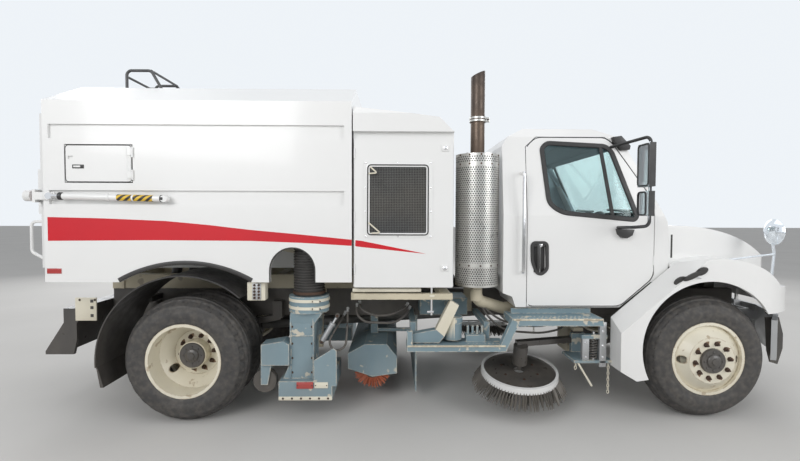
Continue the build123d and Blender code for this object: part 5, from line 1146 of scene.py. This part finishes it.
# %% Detail the body's doors
def draw_inspection(form):
    """Gasket, hinge rivets and latch of the inspection door."""
    low_x, high_x, low_z, high_z = -2.895, -2.376, 1.957, 2.245
    hinge_x = high_x - 0.024
    y = side_face("inspection_door", (low_x + high_x) / 2, (low_z + high_z) / 2 + 0.08).y
    edge = [(low_x, y, low_z), (high_x, y, low_z), (high_x, y, high_z), (low_x, y, high_z)]
    gasket(form, edge, 0.03, outward, 0.006, 0.0012, sunk=0.001)
    strip(form, [(hinge_x, y, low_z + 0.02), (hinge_x, y, high_z - 0.02)], outward, 0.030, 0.003, finish=1)
    for k in range(8):
        rivet = (hinge_x, y, low_z + 0.035 + k * 0.031)
        turned(form, [(0.006, 0.002), (0.005, 0.005), (0, 0.0065)], rivet, outward, 10, 1)
    box(form, (low_x + 0.055, y - 0.004, 2.062), (low_x + 0.145, y + 0.002, 2.092), 0.008)
    box(form, (low_x + 0.065, y - 0.007, 2.070), (low_x + 0.120, y, 2.084), 0.004, finish=1)


piece("inspection_trim", draw_inspection, ["window_rubber", "white_paint"], "inspection_panel", slot="black_plastic")
grid_x, grid_z = (-0.512, -0.031), (1.543, 2.099)
mesh_pitch, wire_half, latch_x = 0.013, 0.0012, 0.105
# Bent prop rods: distance from the grid's rear edge, distance from the door's face, and height
prop_rods = [
    [(0.006, 0.008, 2.030), (0.075, 0.016, 2.034), (0.020, 0.010, 2.082)],
    [(0.006, 0.008, 1.640), (0.100, 0.016, 1.560), (0.030, 0.010, 1.556)],
]


def grid_lines(low, high):
    """Where the wires between two edges lie."""
    count = int((high - low) / mesh_pitch)
    return [low + (high - low) * k / count for k in range(count + 1)]


def draw_screen(form):
    """Wire grid, frame screws, prop rods and latches of the right-hand engine door."""
    (low_x, high_x), (low_z, high_z) = grid_x, grid_z
    face = side_face("engine_door_right", low_x - 0.015, 1.8).y
    y = side_face("engine_door_right", -0.27, 1.8).y - 0.004
    for x in grid_lines(low_x, high_x):
        box(form, (x - wire_half, y - wire_half, low_z), (x + wire_half, y + wire_half, high_z), 0, finish=3)
    for z in grid_lines(low_z, high_z):
        box(form, (low_x, y - wire_half, z - wire_half), (high_x, y + wire_half, z + wire_half), 0, finish=3)
    corners = [(low_x - 0.002, face, low_z), (high_x, face, low_z), (high_x, face, high_z), (low_x, face, high_z)]
    gasket(form, corners, 0.03, outward, 0.030, 0.004)
    gasket(form, corners, 0.03, outward, 0.010, 0.008, finish=1)
    screw = [(0.007, -0.002), (0.007, 0.002), (0.004, 0.004), (0, 0.004)]
    middle = (low_x + high_x) / 2
    for x in (low_x - 0.018, middle, high_x + 0.020):
        for z in (low_z - 0.012, 1.73, 1.92, high_z + 0.016):
            if x != middle or not low_z < z < high_z:
                turned(form, screw, (x, face, z), outward, 12, 4)
    for route in prop_rods:
        tube(form, rounded([(low_x + x, face - y, z) for x, y, z in route], 0.02, 4), 0.006, 8, finish=2)
    knob = [(0.016, 0), (0.016, 0.006), (0.010, 0.009), (0, 0.009)]
    for z in (1.250, 2.210):
        box(form, (latch_x - 0.030, -half_width - 0.008, z), (latch_x + 0.030, -half_width + 0.001, z + 0.050), 0.006)
        turned(form, knob, (latch_x, -half_width - 0.008, z + 0.025), outward, 18, 4)


screen_looks = ["white_paint", "window_rubber", "cream_trim", "engine_metal", "rod_chrome"]
both_pieces("engine_screen", draw_screen, screen_looks, "housing_door_{side}")
for side, _ in sides:
    share_out(f"engine_door_{side}", (
        "dark_mesh", lambda m, n: 1.50 < m.z < 2.12 and -0.53 < m.x < -0.01 and abs(m.y) < 1.217))

# %% [markdown]
# The suction nozzle is blue-grey sheet steel bolted together. Pale clamp bands hold the hose to its
# neck, ribs stiffen the duct, and a red and a cream reflector mark its outer corner. A slanted cylinder
# stands beside the duct. Bands and bolts are small forms of their own, because they stand proud and catch
# the light. All of it rides on the nozzle and lifts with it.

# %% Finish the suction nozzles
nozzle_face = -1.200
duct_rear, duct_front, duct_face = -1.150, -0.966, -1.130
neck = Vector((nozzle_x, -nozzle_y, 0))


def band(form, middle, inner, outer, low, height, sides=48, finish=0):
    """A flat clamp band round an upright pipe, with its two edges chamfered."""
    edge = 0.002
    profile = [(inner, low), (outer, low + edge), (outer, low + height - edge), (inner, low + height)]
    turned(form, profile, middle, upward, sides, finish, closed=True)


def draw_nozzle_trim(form):
    """Bands, ribs, bolts, reflectors and skid of the right-hand nozzle."""
    for z in (0.925, 0.985):
        band(form, neck, 0.1655, 0.170, z, 0.026)
        box(form, neck + Vector((0.06, -0.176, z + 0.002)), neck + Vector((0.11, -0.150, z + 0.024)), 0.003)
        rod(form, neck + Vector((0.05, -0.166, z + 0.013)), neck + Vector((0.12, -0.160, z + 0.013)), 0.005, 8, 4)
    band(form, neck, 0.132, 0.136, hose_low + 0.012, 0.024, 40, 4)
    # Ribs up the duct's edges and across it, with bolts between them
    for x in (duct_rear, duct_front):
        box(form, (x - 0.006, duct_face - 0.010, 0.352), (x + 0.006, duct_face + 0.002, 0.88), 0.003, 1)
    box(form, (duct_rear, duct_face - 0.009, 0.700), (duct_front, duct_face + 0.001, 0.712), 0.003, 1)
    for x in (duct_rear + 0.010, duct_front - 0.010):
        for z in (0.40, 0.52, 0.64, 0.78, 0.86):
            bolt(form, (x, duct_face - 0.0005, z), outward, 0.008, 4)
    # Reflectors on the outer corner of the head
    box(form, (-1.090, nozzle_face - 0.010, 0.292), (-0.955, nozzle_face + 0.002, 0.346), 0.006, 2)
    box(form, (-0.945, nozzle_face - 0.010, 0.296), (-0.835, nozzle_face + 0.002, 0.344), 0.006, 3)
    for x in (-1.08, -0.965, -0.935, -0.845):
        turned(form, [(0.005, 0), (0.004, 0.003), (0, 0.004)], (x, nozzle_face - 0.010, 0.319), outward, 8, 4)
    # Skid below the head's edge
    box(form, (-1.236, nozzle_face - 0.006, 0.196), (-0.802, nozzle_face + 0.003, 0.226), 0.004, 0)
    for k in range(6):
        bolt(form, (-1.20 + k * 0.073, nozzle_face - 0.006, 0.212), outward, 0.007, 4)


trim_looks = ["cream_trim", "blue_grey_paint", "red_lens", "cream_trim", "rusty_steel"]
both_pieces("nozzle_trim", draw_nozzle_trim, trim_looks, "suction_head_{side}", slot="blue_grey_paint")


def draw_nozzle_cylinder(form):
    """Slanted cylinder with an eye and a bolt at each end."""
    low, high = Vector((-0.905, -1.06, 0.640)), Vector((-0.775, -1.06, 0.858))
    way = (high - low).normalized()
    rod(form, low, low + way * 0.17, 0.024, 20, 1)
    rod(form, low + way * 0.165, high, 0.011, 16, 2)
    turned(form, [(0.024, 0.160), (0.028, 0.164), (0.028, 0.180), (0.012, 0.184)], low, way, 20, 1)
    for end in (low, high):
        near, far = end + Vector((0, -0.022, 0)), end + Vector((0, 0.022, 0))
        rod(form, near, far, 0.020, 16)
        bolt(form, near, outward, 0.009, 3)


cylinder_looks = ["frame_paint", "silver_paint", "rod_chrome", "rusty_steel"]
both_pieces("nozzle_cylinder", draw_nozzle_cylinder, cylinder_looks, "suction_head_{side}", slot="silver_paint")

# %% [markdown]
# Hydraulic hoses run along the frame beside the moving gear. They are stiff black rubber with crimped
# steel ends. A free cord would need its fall worked out, but none of these is free: each joins two
# fittings, so each is a tube along a few bends that stays with the chassis.

# %% Run the hydraulic hoses
# A six-sided nut, and the crimped sleeve behind it
fitting = [(0.0, -0.002), (0.014, -0.002), (0.014, 0.012), (0.011, 0.014), (0.011, 0.040), (0.009, 0.042)]
# Each hose: its radius and its route of bends
hose_routes = [
    (0.009, [(-0.700, -0.95, 0.900), (-0.690, -1.08, 0.760), (-0.700, -1.13, 0.610), (-0.790, -1.13, 0.570),
             (-0.842, -1.13, 0.650), (-0.800, -1.10, 0.730), (-0.760, -1.00, 0.790), (-0.72, -0.92, 0.86)]),
    (0.010, [(-0.62, -0.93, 0.93), (-0.62, -1.02, 0.86), (-0.55, -1.05, 0.80), (-0.30, -1.05, 0.79),
             (-0.20, -0.98, 0.84), (-0.16, -0.90, 0.90)]),
    (0.010, [(-0.60, -0.91, 0.95), (-0.59, -1.00, 0.90), (-0.48, -1.03, 0.85), (-0.34, -1.03, 0.85),
             (-0.22, -0.96, 0.89), (-0.18, -0.90, 0.93)]),
    (0.009, [(0.46, -0.86, 0.93), (0.50, -0.93, 0.84), (0.60, -0.97, 0.74), (0.72, -0.97, 0.70),
             (0.98, -0.96, 0.68), (1.16, -0.90, 0.70), (1.24, -0.84, 0.74)]),
    (0.009, [(0.44, -0.84, 0.95), (0.50, -0.90, 0.88), (0.62, -0.93, 0.79), (0.80, -0.93, 0.74),
             (1.00, -0.92, 0.73), (1.20, -0.86, 0.76)]),
]


def draw_hoses(form):
    """Hoses of the right-hand side, each between two fittings."""
    for reach, route in hose_routes:
        line = rounded(route, 0.09, 6)
        tube(form, line, reach, 10)
        for end, following in ((line[0], line[1]), (line[-1], line[-2])):
            turned(form, fitting, end, following - end, 6, 1)


both_pieces("hydraulic_hoses", draw_hoses, ["hose_rubber", "silver_paint"], "chassis")

# %% [markdown]
# Below the body sit the small things that make it a working truck: a junction box with rows of studs
# behind the suction hose, a cream bar below the engine's housing, a thin bright drain rod, the chains of
# the gutter broom, and its spring. The spring is a tube along a helix. A chain is a row of oval rings,
# each turned by a quarter, because separate links look right from every side.

# %% Hang the small gear
def draw_small_gear(form):
    """Junction box, cream bar and drain rod of the right-hand side."""
    stud = [(0.010, 0), (0.010, 0.006), (0.006, 0.010), (0, 0.010)]
    box(form, (-1.500, -1.150, 1.000), (-1.352, -1.060, 1.150), 0.006, 0)
    box(form, (-1.455, -1.158, 1.008), (-1.385, -1.150, 1.142), 0.003, 1)
    for k in range(5):
        for x in (-1.438, -1.402):
            turned(form, stud, (x, -1.158, 1.024 + k * 0.026), outward, 10, 2)
    box(form, (-1.48, -1.10, 1.14), (-1.37, -1.00, 1.20), 0.004, 0)
    # Bar below the engine's housing, on the frame's side
    box(form, (-0.640, -1.168, 1.074), (-0.080, -1.120, 1.102), 0.005, 0)
    # Bright drain rod with a clip
    rod(form, (0.006, -1.150, 0.880), (0.006, -1.150, 1.130), 0.010, 12, 3)
    box(form, (-0.030, -1.162, 0.900), (0.024, -1.138, 0.918), 0.003, 3)
    box(form, (-0.012, -1.165, 1.030), (0.030, -1.130, 1.050), 0.003, 0)


gear_looks = ["cream_trim", "silver_paint", "rusty_steel", "rod_chrome", "cream_trim"]
both_pieces("small_gear", draw_small_gear, gear_looks, "chassis", slot="beige_paint")
spring_foot, spring_height, spring_reach = Vector((1.402, -1.030, 0.480)), 0.175, 0.028
spring_turns, spring_steps = 8, 120
# Each chain: where it hangs, and how low it reaches. The rear one is short, so that the broom swings out
# below it.
plate_low, link_pitch, chains = 0.448, 0.026, ((1.248, 0.39), (1.530, 0.175))


def draw_bracket(form):
    """Lift spring, its plate and the hanging chains beside the gutter broom's arm."""
    # Crosswise plate bolted to the bracket, and the posts that stand on it
    box(form, (1.228, -1.060, plate_low), (1.560, -0.780, 0.472), 0.005, 2)
    box(form, (1.300, -0.810, 0.455), (1.428, -0.760, 0.640), 0.005, 2)
    box(form, (1.442, -1.060, 0.415), (1.502, -1.020, 0.800), 0.006, 3)
    box(form, (1.300, -1.050, 0.470), (1.360, -1.010, 0.660), 0.006, 3)
    box(form, (1.290, -1.058, 0.655), (1.510, -1.004, 0.690), 0.005, 2)
    for x, y, heights, size in ((1.472, -1.060, (0.50, 0.60, 0.72), 0.009), (1.330, -1.050, (0.50, 0.62), 0.008)):
        for z in heights:
            bolt(form, (x, y, z), outward, size, 1)
    coil = []
    for k in range(spring_steps + 1):
        share = k / spring_steps
        angle = tau * spring_turns * share
        coil.append(spring_foot + Vector((cos(angle) * spring_reach, sin(angle) * spring_reach, spring_height * share)))
    tube(form, coil, 0.006, 8)
    rod(form, spring_foot + lift(-0.02), spring_foot + lift(spring_height + 0.06), 0.012, 12, 1)
    for x, low_z in chains:
        for k in range(int((plate_low - low_z) / link_pitch)):
            over = Vector(to_nose if k % 2 else inward)
            link = circle(Vector((x, -1.035, 0.445 - link_pitch * (k + 0.5))), over * 0.009, lift(0.018), 12)
            tube(form, link, 0.0035, 6, closed=True, finish=4)
    rod(form, (1.262, -1.045, 0.455), (1.385, -1.050, 0.250), 0.009, 10, 4)


bracket_looks = ["frame_paint", "rod_chrome", "blue_grey_paint", "silver_paint", "cream_trim"]
both_pieces("arm_bracket", draw_bracket, bracket_looks, "chassis")

# %% [markdown]
# The steps are folded blue-grey sheet. Rows of small raised ovals give grip, and pale lips run along the
# boards' outer edges. The tops of the boards lie at two heights, so the ovals are set on them with rays.

# %% Raise the grip pattern on the steps
# Each board: its rear and front ends, and its outer and inner edges
boards = ((0.700, 1.380, -1.185, -1.110), (-0.160, 0.100, -1.185, -1.080), (0.30, 0.580, -1.185, -1.080))
oval_pitch, oval_rows = 0.034, 3


def draw_grip(form):
    """Two crossed sets of small ovals on the boards of the right-hand steps."""
    for low_x, high_x, y_near, y_far in boards:
        for i in range(int((high_x - low_x) / oval_pitch)):
            for j in range(oval_rows):
                x = low_x + (i + 0.5 * (j % 2)) * oval_pitch
                y = y_near + (y_far - y_near) * j / (oval_rows - 1)
                hit, spot, _, _ = nodes["cab_steps"].ray_cast(Vector((x, y, 1.05)), lift(-1))
                if not hit:
                    continue
                tilt = 0.7 if (i + j) % 2 else -0.7
                way, over = Vector((cos(tilt), sin(tilt), 0)), Vector((-sin(tilt), cos(tilt), 0))
                foot = [form.verts.new(p) for p in circle(spot, way * 0.013, over * 0.005, 8)]
                top = [form.verts.new(p) for p in circle(spot + lift(0.003), way * 0.008, over * 0.003, 8)]
                join_rings(form, [foot, top])
                form.faces.new(top)
    for low_x, high_x, z in ((0.672, 1.402, 0.852), (-0.190, 0.608, 0.636)):
        tube(form, [(low_x, -1.199, z), (high_x, -1.199, z)], 0.008, 8, finish=1)


both_pieces("step_grip", draw_grip, ["blue_grey_paint", "cream_paint"], "chassis")

# %% [markdown]
# The stack's silencer hides in a perforated shield. Screws hold the shield's plain bands, two rings on top
# are for lifting it, and a clamp of two bands with a bolt joins the upper pipe. The holes are drawn in
# the shield's material, since there are too many to cut. The screws are made, and a ray finds the
# shield's round surface for each.

# %% Dress the stack
def draw_stack_trim(form):
    """Band screws, lifting rings and the pipe clamp."""
    middle = Vector((*stack_centre, 0))
    screw = [(0.008, -0.001), (0.008, 0.002), (0.005, 0.004), (0, 0.004)]

    def way_at(angle):
        return Vector((cos(radians(angle)), sin(radians(angle)), 0))
    for z in (1.278, 2.132, 2.208):
        for way in map(way_at, (-150, -120, -90, -60, -30)):
            turned(form, screw, touch("heat_shield", middle + way * 0.6 + lift(z), -way), way, 12, 1)
    for way in map(way_at, (-140, -40)):
        foot = middle + way * 0.130 + lift(2.180)
        tube(form, circle(foot + lift(0.030), way * 0.020, lift(0.020), 16), 0.005, 8, closed=True)
        rod(form, foot, foot + lift(0.012), 0.012)
    for z in (2.504, 2.528):
        band(form, middle, 0.0685, 0.072, z, 0.018, 36)
        box(form, middle + Vector((0.062, -0.020, z)), middle + Vector((0.100, 0.004, z + 0.018)), 0.003)
    rod(form, middle + Vector((0.086, -0.03, 2.525)), middle + Vector((0.086, 0.02, 2.525)), 0.006, 8, 1)


piece("stack_trim", draw_stack_trim, ["shield_clean", "rusty_steel"], "chassis", slot="shield_steel")

# %% [markdown]
# The cab is seen through its glass, so it is furnished: a dash with hooded dials, two steering wheels, as
# a sweeper is driven from either side to follow the kerb, and sprung bases for the seats. Inside, the
# shell and doors are lined in grey. A wheel's rim is a tube along a circle that lies across its column.

# %% Furnish the cab
cab_middle = Vector((1.30, 0, 1.70))


def faces_inside(middle, normal):
    """True for the faces of the cab's shell that look into the cab."""
    in_cab = 0.75 < middle.x < 2.0 and abs(middle.y) < 0.93 and middle.z > 1.08
    return in_cab and normal.dot(cab_middle - middle) > 0.05


share_out(
    "cab_shell",
    ("cab_liner", faces_inside),
    ("rod_chrome", lambda m, n: abs(m.y) > 1.03 and m.x < 0.80 and 1.2 < m.z < 2.08),
)
# Each steering wheel: its distance from the middle, the way it faces, and its radius
wheel_half, wheel_tilt, wheel_reach = 0.470, Vector((-0.79, 0, 0.61)), 0.217
# Profiles of a wheel's hub, a dial, the dash and the hood over the dials
hub = [(0, 0.02), (0.055, 0.015), (0.066, -0.005), (0.050, -0.040), (0.030, -0.050)]
dial = [(0.038, 0.0), (0.038, 0.010), (0.032, 0.010), (0.030, 0.004), (0, 0.004)]
dash = [(1.954, 1.20), (1.954, 1.598), (1.735, 1.578), (1.676, 1.480), (1.735, 1.30)]
hood_line = [(-0.20, 0.0), (-0.18, 0.050), (-0.12, 0.072), (0.12, 0.072), (0.18, 0.050), (0.20, 0.0)]


base_rear, base_front, base_half = 0.994, 1.354, 0.155
console = ((1.690, -0.16, 1.21), (1.760, 0.16, 1.47))


def draw_fittings(form):
    """Dash, dials, steering wheels and seat bases."""
    plate(form, dash, -0.905, 0.905, soft=0.02)
    box(form, *console, 0.012, 1)
    for k in range(4):
        box(form, (1.684, -0.13, 1.24 + k * 0.055), (1.694, 0.13, 1.28 + k * 0.055), 0.004, 2)
    for y in (-wheel_half, wheel_half):
        middle = Vector((1.564, y, 1.560))
        out, over = across_axis(wheel_tilt)
        tube(form, circle(middle, out * wheel_reach, over * wheel_reach, 48), 0.0135, 10, closed=True, finish=1)
        for angle in (35, 145, 215, 325):
            way = out * cos(radians(angle)) + over * sin(radians(angle))
            rod(form, middle - wheel_tilt * 0.01, middle + way * 0.210, 0.010, 8, 1)
        turned(form, hub, middle, wheel_tilt, 28, 1)
        rod(form, middle, Vector((1.740, y, 1.425)), 0.026, 14, 1)
        # Hood over the dials, and the dials
        plate(form, [(y + a, 1.575 + b) for a, b in hood_line], 1.715, 1.90, "yz", 1, 0.01)
        for dy in (-0.09, 0.0, 0.09):
            turned(form, dial, (1.716, y + dy, 1.600), to_tail, 24, 2)
        box(form, (base_rear, y - base_half, 1.10), (base_front, y + base_half, 1.322), 0.02, 1)
        rear, front, near, far = base_rear - 0.004, base_front + 0.004, y - base_half - 0.003, y + base_half + 0.003
        for z in (1.14, 1.18, 1.22, 1.26):
            fold = [(rear, near, z), (front, near, z), (front, far, z), (rear, far, z)]
            gasket(form, fold, 0.03, upward, 0.020, 0.008, finish=1, steps=4)


cab_looks = ["interior_trim", "black_plastic", "silver_paint"]
piece("cab_fittings", draw_fittings, cab_looks, "chassis", stands_for=["cab_interior"])


# %% [markdown]
# The seat cushions are foam under cloth. Foam pushes the cloth out in the middle and the seams hold it
# in, so each cushion is a crowned form with pinched sides, sewn channels and a welt. It starts as the
# surface of a cube in small squares, and one function moves each corner of them to its place on the
# cushion. The welt is a tube that runs through places found by the same function.

# %% Stuff the seats
channel_depth, channel_half = 0.012, 0.07


def cushion_skin(low, high, soft, crown, pull, channels, lean):
    """A function from a cube's surface, each coordinate -1 to 1, to the surface of a stuffed cushion."""
    middle = (Vector(low) + Vector(high)) / 2
    half = (Vector(high) - Vector(low)) / 2
    top = 2 if crown[2] else 0

    def skin(u):
        point = Vector([u[k] * half[k] for k in range(3)])
        core = Vector([max(-half[k] + soft, min(half[k] - soft, point[k])) for k in range(3)])
        away = point - core
        if away.length > 1e-9:
            point = core + away.normalized() * soft
        others = [k for k in range(3) if k != top]
        dome = (1 - u[others[0]] ** 2) * (1 - u[others[1]] ** 2)
        groove = sum(2.718 ** -(((u[axis] - at) / channel_half) ** 2) for axis, at in channels)
        point[top] += (crown[top] * dome - channel_depth * min(groove, 1.0) * dome ** 0.3) * u[top]
        for k, other in (others, others[::-1]):
            point[k] -= pull * (1 - u[other] ** 2) * u[k]
        point.x += lean * (point.z + half.z) / (2 * half.z)
        return middle + point
    return skin


def draw_cushion(form, skin, axis, level=0.6):
    """The cushion's surface, and a welt sewn round it where its top meets its sides."""
    before = mark_old(form)
    bmesh.ops.create_cube(form, size=2)
    bmesh.ops.subdivide_edges(form, edges=form.edges[:], cuts=17, use_grid_fill=True)
    for corner in form.verts:
        corner.co = skin(corner.co.copy())
    paint_new(form, before, 0)
    a, b = [k for k in range(3) if k != axis]
    loop = []
    for k in range(64):
        # Sixteen steps along each side of the square
        side, along = k // 16, k % 16 / 8 - 1
        spot = [level] * 3
        spot[a], spot[b] = ((along, -1), (1, along), (-along, 1), (-1, -along))[side]
        loop.append(skin(spot))
    tube(form, loop, 0.005, 6, closed=True, finish=1)


# Each cushion: its corners with y from its own middle, its crown, its sewn channels, its lean, and the
# axis across its welt
cushions = {
    "seat": ((0.944, -0.235, 1.325), (1.409, 0.235, 1.440), (0, 0, 0.020), [(1, -0.5), (1, 0.5), (0, -0.25)], 0, 2),
    "back": ((0.950, -0.225, 1.440), (1.050, 0.225, 2.110), (0.018, 0, 0), [(1, -0.5), (1, 0.5), (2, 0.55), (2, -0.2)],
             -0.075, 0),
}
for side, sign in sides:
    middle = Vector((0, sign * wheel_half, 0))
    for name, (low, high, crown, channels, back_lean, axis) in cushions.items():
        skin = cushion_skin(middle + Vector(low), middle + Vector(high), 0.045, crown, 0.010, channels, back_lean)
        pad = piece(f"{name}_cushion_{side}", lambda form: draw_cushion(form, skin, axis),
                    ["seat_cloth", "interior_trim"], "chassis", slot="interior_trim",
                    stands_for=["cab_interior"], crisp=60)

# %% [markdown]
# The nose has chrome bars in its grille, and each headlamp holds a main lamp, a dipped lamp and an amber
# indicator. Each of these is a bright ring and a lens laid on the headlamp's solid, which looks like a
# lamp without a hole in the solid. Five amber markers stand along the roof's front edge. A black rubber
# strap with a wire catch holds the bonnet to the cowl, and a black seal runs up the bonnet's rear edge.

# %% Light and latch the nose
def side_spot(names, x, z, proud=0.0):
    """A point that stands proud of some right-hand solids at a place seen from the side."""
    hits = [nodes[name].ray_cast(Vector((x, -ray_side, z)), Vector(inward)) for name in names]
    return Vector((x, min(spot.y for hit, spot, _, _ in hits if hit) - proud, z))


bar_pitch, grille_half, lamp_z = 0.042, 0.385, 0.988
# Each lamp: its distance from the middle, its radius, and the finish of its lens
nose_lamps = ((0.700, 0.048, 3), (0.805, 0.048, 3), (0.872, 0.020, 2))


def draw_nose(form):
    """Rings and lenses of the headlamps, and the grille's bars."""
    for side in (-1, 1):
        for y, reach, lens in nose_lamps:
            face = nose_face("headlamps", side * y, lamp_z)
            inner = reach * 0.80
            turned(form, [(reach, -0.004), (reach, 0.003), (reach * 0.86, 0.004), (inner, 0.001)], face, to_nose, 28)
            turned(form, [(inner, -0.004), (inner, 0.0012), (0, 0.0035)], face, to_nose, 28, lens)
    front = nose_face("grille", 0.05, 1.083).x
    rear, front = front - 0.010, front + 0.003
    for k in range(6):
        z = 0.972 + k * bar_pitch
        box(form, (rear, -grille_half, z), (front, grille_half, z + 0.018))
    for y in (-grille_half - 0.001, grille_half + 0.001):
        box(form, (rear, y - 0.010, 0.965), (front, y + 0.010, 1.205))


nose_looks = ["rod_chrome", "black_plastic", "amber_lens", "clear_lens"]
piece("nose_trim", draw_nose, nose_looks, "bonnet", slot="silver_paint")


def draw_latch(form):
    """Rubber strap, its wire catch and the seal along the bonnet's rear edge."""
    rear, front = side_spot(["hood", "cab_shell"], 1.994, 1.146, 0.010), side_spot(["hood"], 2.226, 1.274, 0.010)
    middle = side_spot(["hood"], 2.110, 1.215, 0.014)
    way, out = (front - rear).normalized(), Vector(outward)
    over = Vector((-way.z, 0, way.x))
    pads = (rear + way * 0.050, 0.056, 0.034), (front - way * 0.045, 0.052, 0.030), (middle, 0.080, 0.020)
    for spot, reach, wide in pads:
        foot, top = (
            [form.verts.new(p) for p in circle(spot + out * proud, way * reach, over * wide, 14)]
            for proud in (-0.014, 0.006)
        )
        join_rings(form, [foot, top, [form.verts.new(spot + out * 0.011)]])
    bmesh.ops.recalc_face_normals(form, faces=form.faces)
    catch = side_spot(["hood"], 2.185, 1.196, 0.004)
    tube(form, [middle, (middle + catch) / 2 + out * 0.006, catch], 0.004, 6, finish=1)
    seal = [side_spot(["hood"], 2.088, z) for z in (1.340, 1.40, 1.47, 1.54)]
    strip(form, seal, outward, 0.016, 0.002)


both_pieces("bonnet_latch", draw_latch, ["window_rubber", "rod_chrome"], "bonnet", slot="black_plastic")


marker_places = (-0.66, -0.22, 0.0, 0.22, 0.66)


def draw_markers(form):
    """Amber marker lamps on the cab's roof."""
    for y in marker_places:
        foot = touch("cab_shell", (1.535, y, 3.0), lift(-1))
        base = [(foot.x - 0.045, foot.z - 0.010), (foot.x + 0.055, foot.z - 0.022), (foot.x + 0.045, foot.z + 0.006),
                (foot.x + 0.005, foot.z + 0.024), (foot.x - 0.035, foot.z + 0.022)]
        plate(form, base, y - 0.042, y + 0.042, soft=0.006)


piece("roof_markers", draw_markers, ["amber_lens"], "chassis", slot="clear_glass")
arch_x, arch_z = 2.284, 0.607
share_out("headlamps", ("clear_lens", lambda m, n: True))
share_out("front_bumper", ("black_plastic", lambda m, n: 0.98 < abs(m.y) < 1.02 and m.x < 3.07 and m.z < 0.84))
share_out("hood", (
    "black_plastic",
    lambda m, n: m.x > 1.6 and 0.5 < abs(m.y) < 1.19 and n.x * (arch_x - m.x) + n.z * (arch_z - m.z) > 0.1))

# %% [markdown]
# The tail door is sealed with a fat black rubber round its edge and carries red lamps, a clear lamp and a
# blank plate. A reflector, the rubber lip over the rear wheels and the pale panel behind the suction hose
# finish the hopper's sides. The lip follows the wheel arch, so it is a strip along part of a circle. A
# bracket with square holes ties the rear bumper to the frame. The holes are dark squares on its face,
# which is enough for a plate so thin.

# %% Finish the tail and the sides
seal_x, lamp_y, lamp_tail = -3.079, 1.095, -3.25


def draw_tail(form):
    """Seal, lamp lenses and plate on the tail door."""
    for low_y, high_y, low_z, high_z in ((-1.196, -1.172, 1.262, 2.508), (1.172, 1.196, 1.262, 2.508),
                                         (-1.172, 1.172, 1.260, 1.284), (-1.172, 1.172, 2.486, 2.508)):
        box(form, (seal_x - 0.014, low_y, low_z), (seal_x, high_y, high_z), 0.005)
    for y in (-lamp_y, lamp_y):
        for low, high in ((1.712, 1.798), (1.912, 1.972), (1.988, 2.048)):
            face = tail_face("rear_door", y, (low + high) / 2).x
            box(form, (face - 0.008, y - 0.045, low), (face + 0.004, y + 0.045, high), 0.008, 1)
        face = tail_face("rear_door", y, 1.85)
        if face.x < lamp_tail:
            turned(form, [(0.040, -0.006), (0.040, -0.001), (0, 0.000)], face, to_tail, 28, 2)
    face = tail_face("rear_door", 0.0, 1.45).x
    box(form, (face - 0.006, -0.155, 1.375), (face + 0.003, 0.155, 1.535), 0.004, 3)
    for y in (-0.130, 0.130):
        turned(form, [(0.006, 0.0), (0.005, 0.003), (0, 0.004)], (face - 0.006, y, 1.515), to_tail, 10, 4)


tail_looks = ["window_rubber", "red_lens", "clear_lens", "cream_trim", "silver_paint"]
piece("tail_trim", draw_tail, tail_looks, "tailgate", slot="black_plastic")
lip_centre, lip_reach, lip_start, lip_end = Vector((-1.965, 0, 0.238)), 1.062, -2.492, -1.438
opening_x, opening_z, opening_reach = -1.116, 1.257, 0.180


def draw_skirt(form):
    """Rubber lip over the rear wheels, reflector and edge of the hose's opening."""
    arc = []
    for k in range(33):
        x = lip_start + (lip_end - lip_start) * k / 32
        arc.append((x, -half_width, lip_centre.z + sqrt(lip_reach ** 2 - (x - lip_centre.x) ** 2) + 0.016))
    strip(form, arc, outward, 0.034, 0.006)
    box(form, (-3.055, -half_width - 0.004, 1.228), (-2.942, -half_width + 0.001, 1.270), 0.003, 1)
    edge = [(opening_x - opening_reach * cos(pi * k / 20), -half_width, opening_z + opening_reach * sin(pi * k / 20))
            for k in range(21)]
    edge = [(edge[0][0], -half_width, 1.16), *edge, (edge[-1][0], -half_width, 1.16)]
    strip(form, edge, outward, 0.010, 0.002)


both_pieces("skirt_trim", draw_skirt, ["window_rubber", "red_lens"], "hopper", slot="black_plastic")


def draw_bumper_bracket(form):
    """Bracket with square holes between the rear bumper and the frame."""
    box(form, (-3.040, -0.936, 0.785), (-2.858, -0.924, 0.985), 0.004, 0)
    for z in (0.830, 0.899, 0.955):
        box(form, (-2.909, -0.938, z - 0.013), (-2.883, -0.935, z + 0.013), 0.001, 1)
    for x in (-3.00, -2.87):
        bolt(form, (x, -0.936, 0.965), outward, 0.008, 2)


bumper_looks = ["cream_trim", "black_plastic", "rusty_steel"]
both_pieces("bumper_bracket", draw_bumper_bracket, bumper_looks, "chassis", slot="beige_paint")
share_out("hopper_shell", (
    "cream_trim", lambda m, n: -1.40 < m.x < -0.85 and abs(m.y) < 1.19 and 1.15 < m.z < 1.60))
share_out("exhaust_stack", ("beige_paint", lambda m, n: m.z < 1.118))
share_out("side_gear", ("cream_trim", lambda m, n: 0.0 < m.x < 0.21 and 0.72 < m.z < 1.01 and m.y < -0.98))

# %% [markdown]
# The last cell prints a closing line. Paint, rubber and bristles must not make the truck larger than
# its solids.

# %% Finish
print("scene dressed")
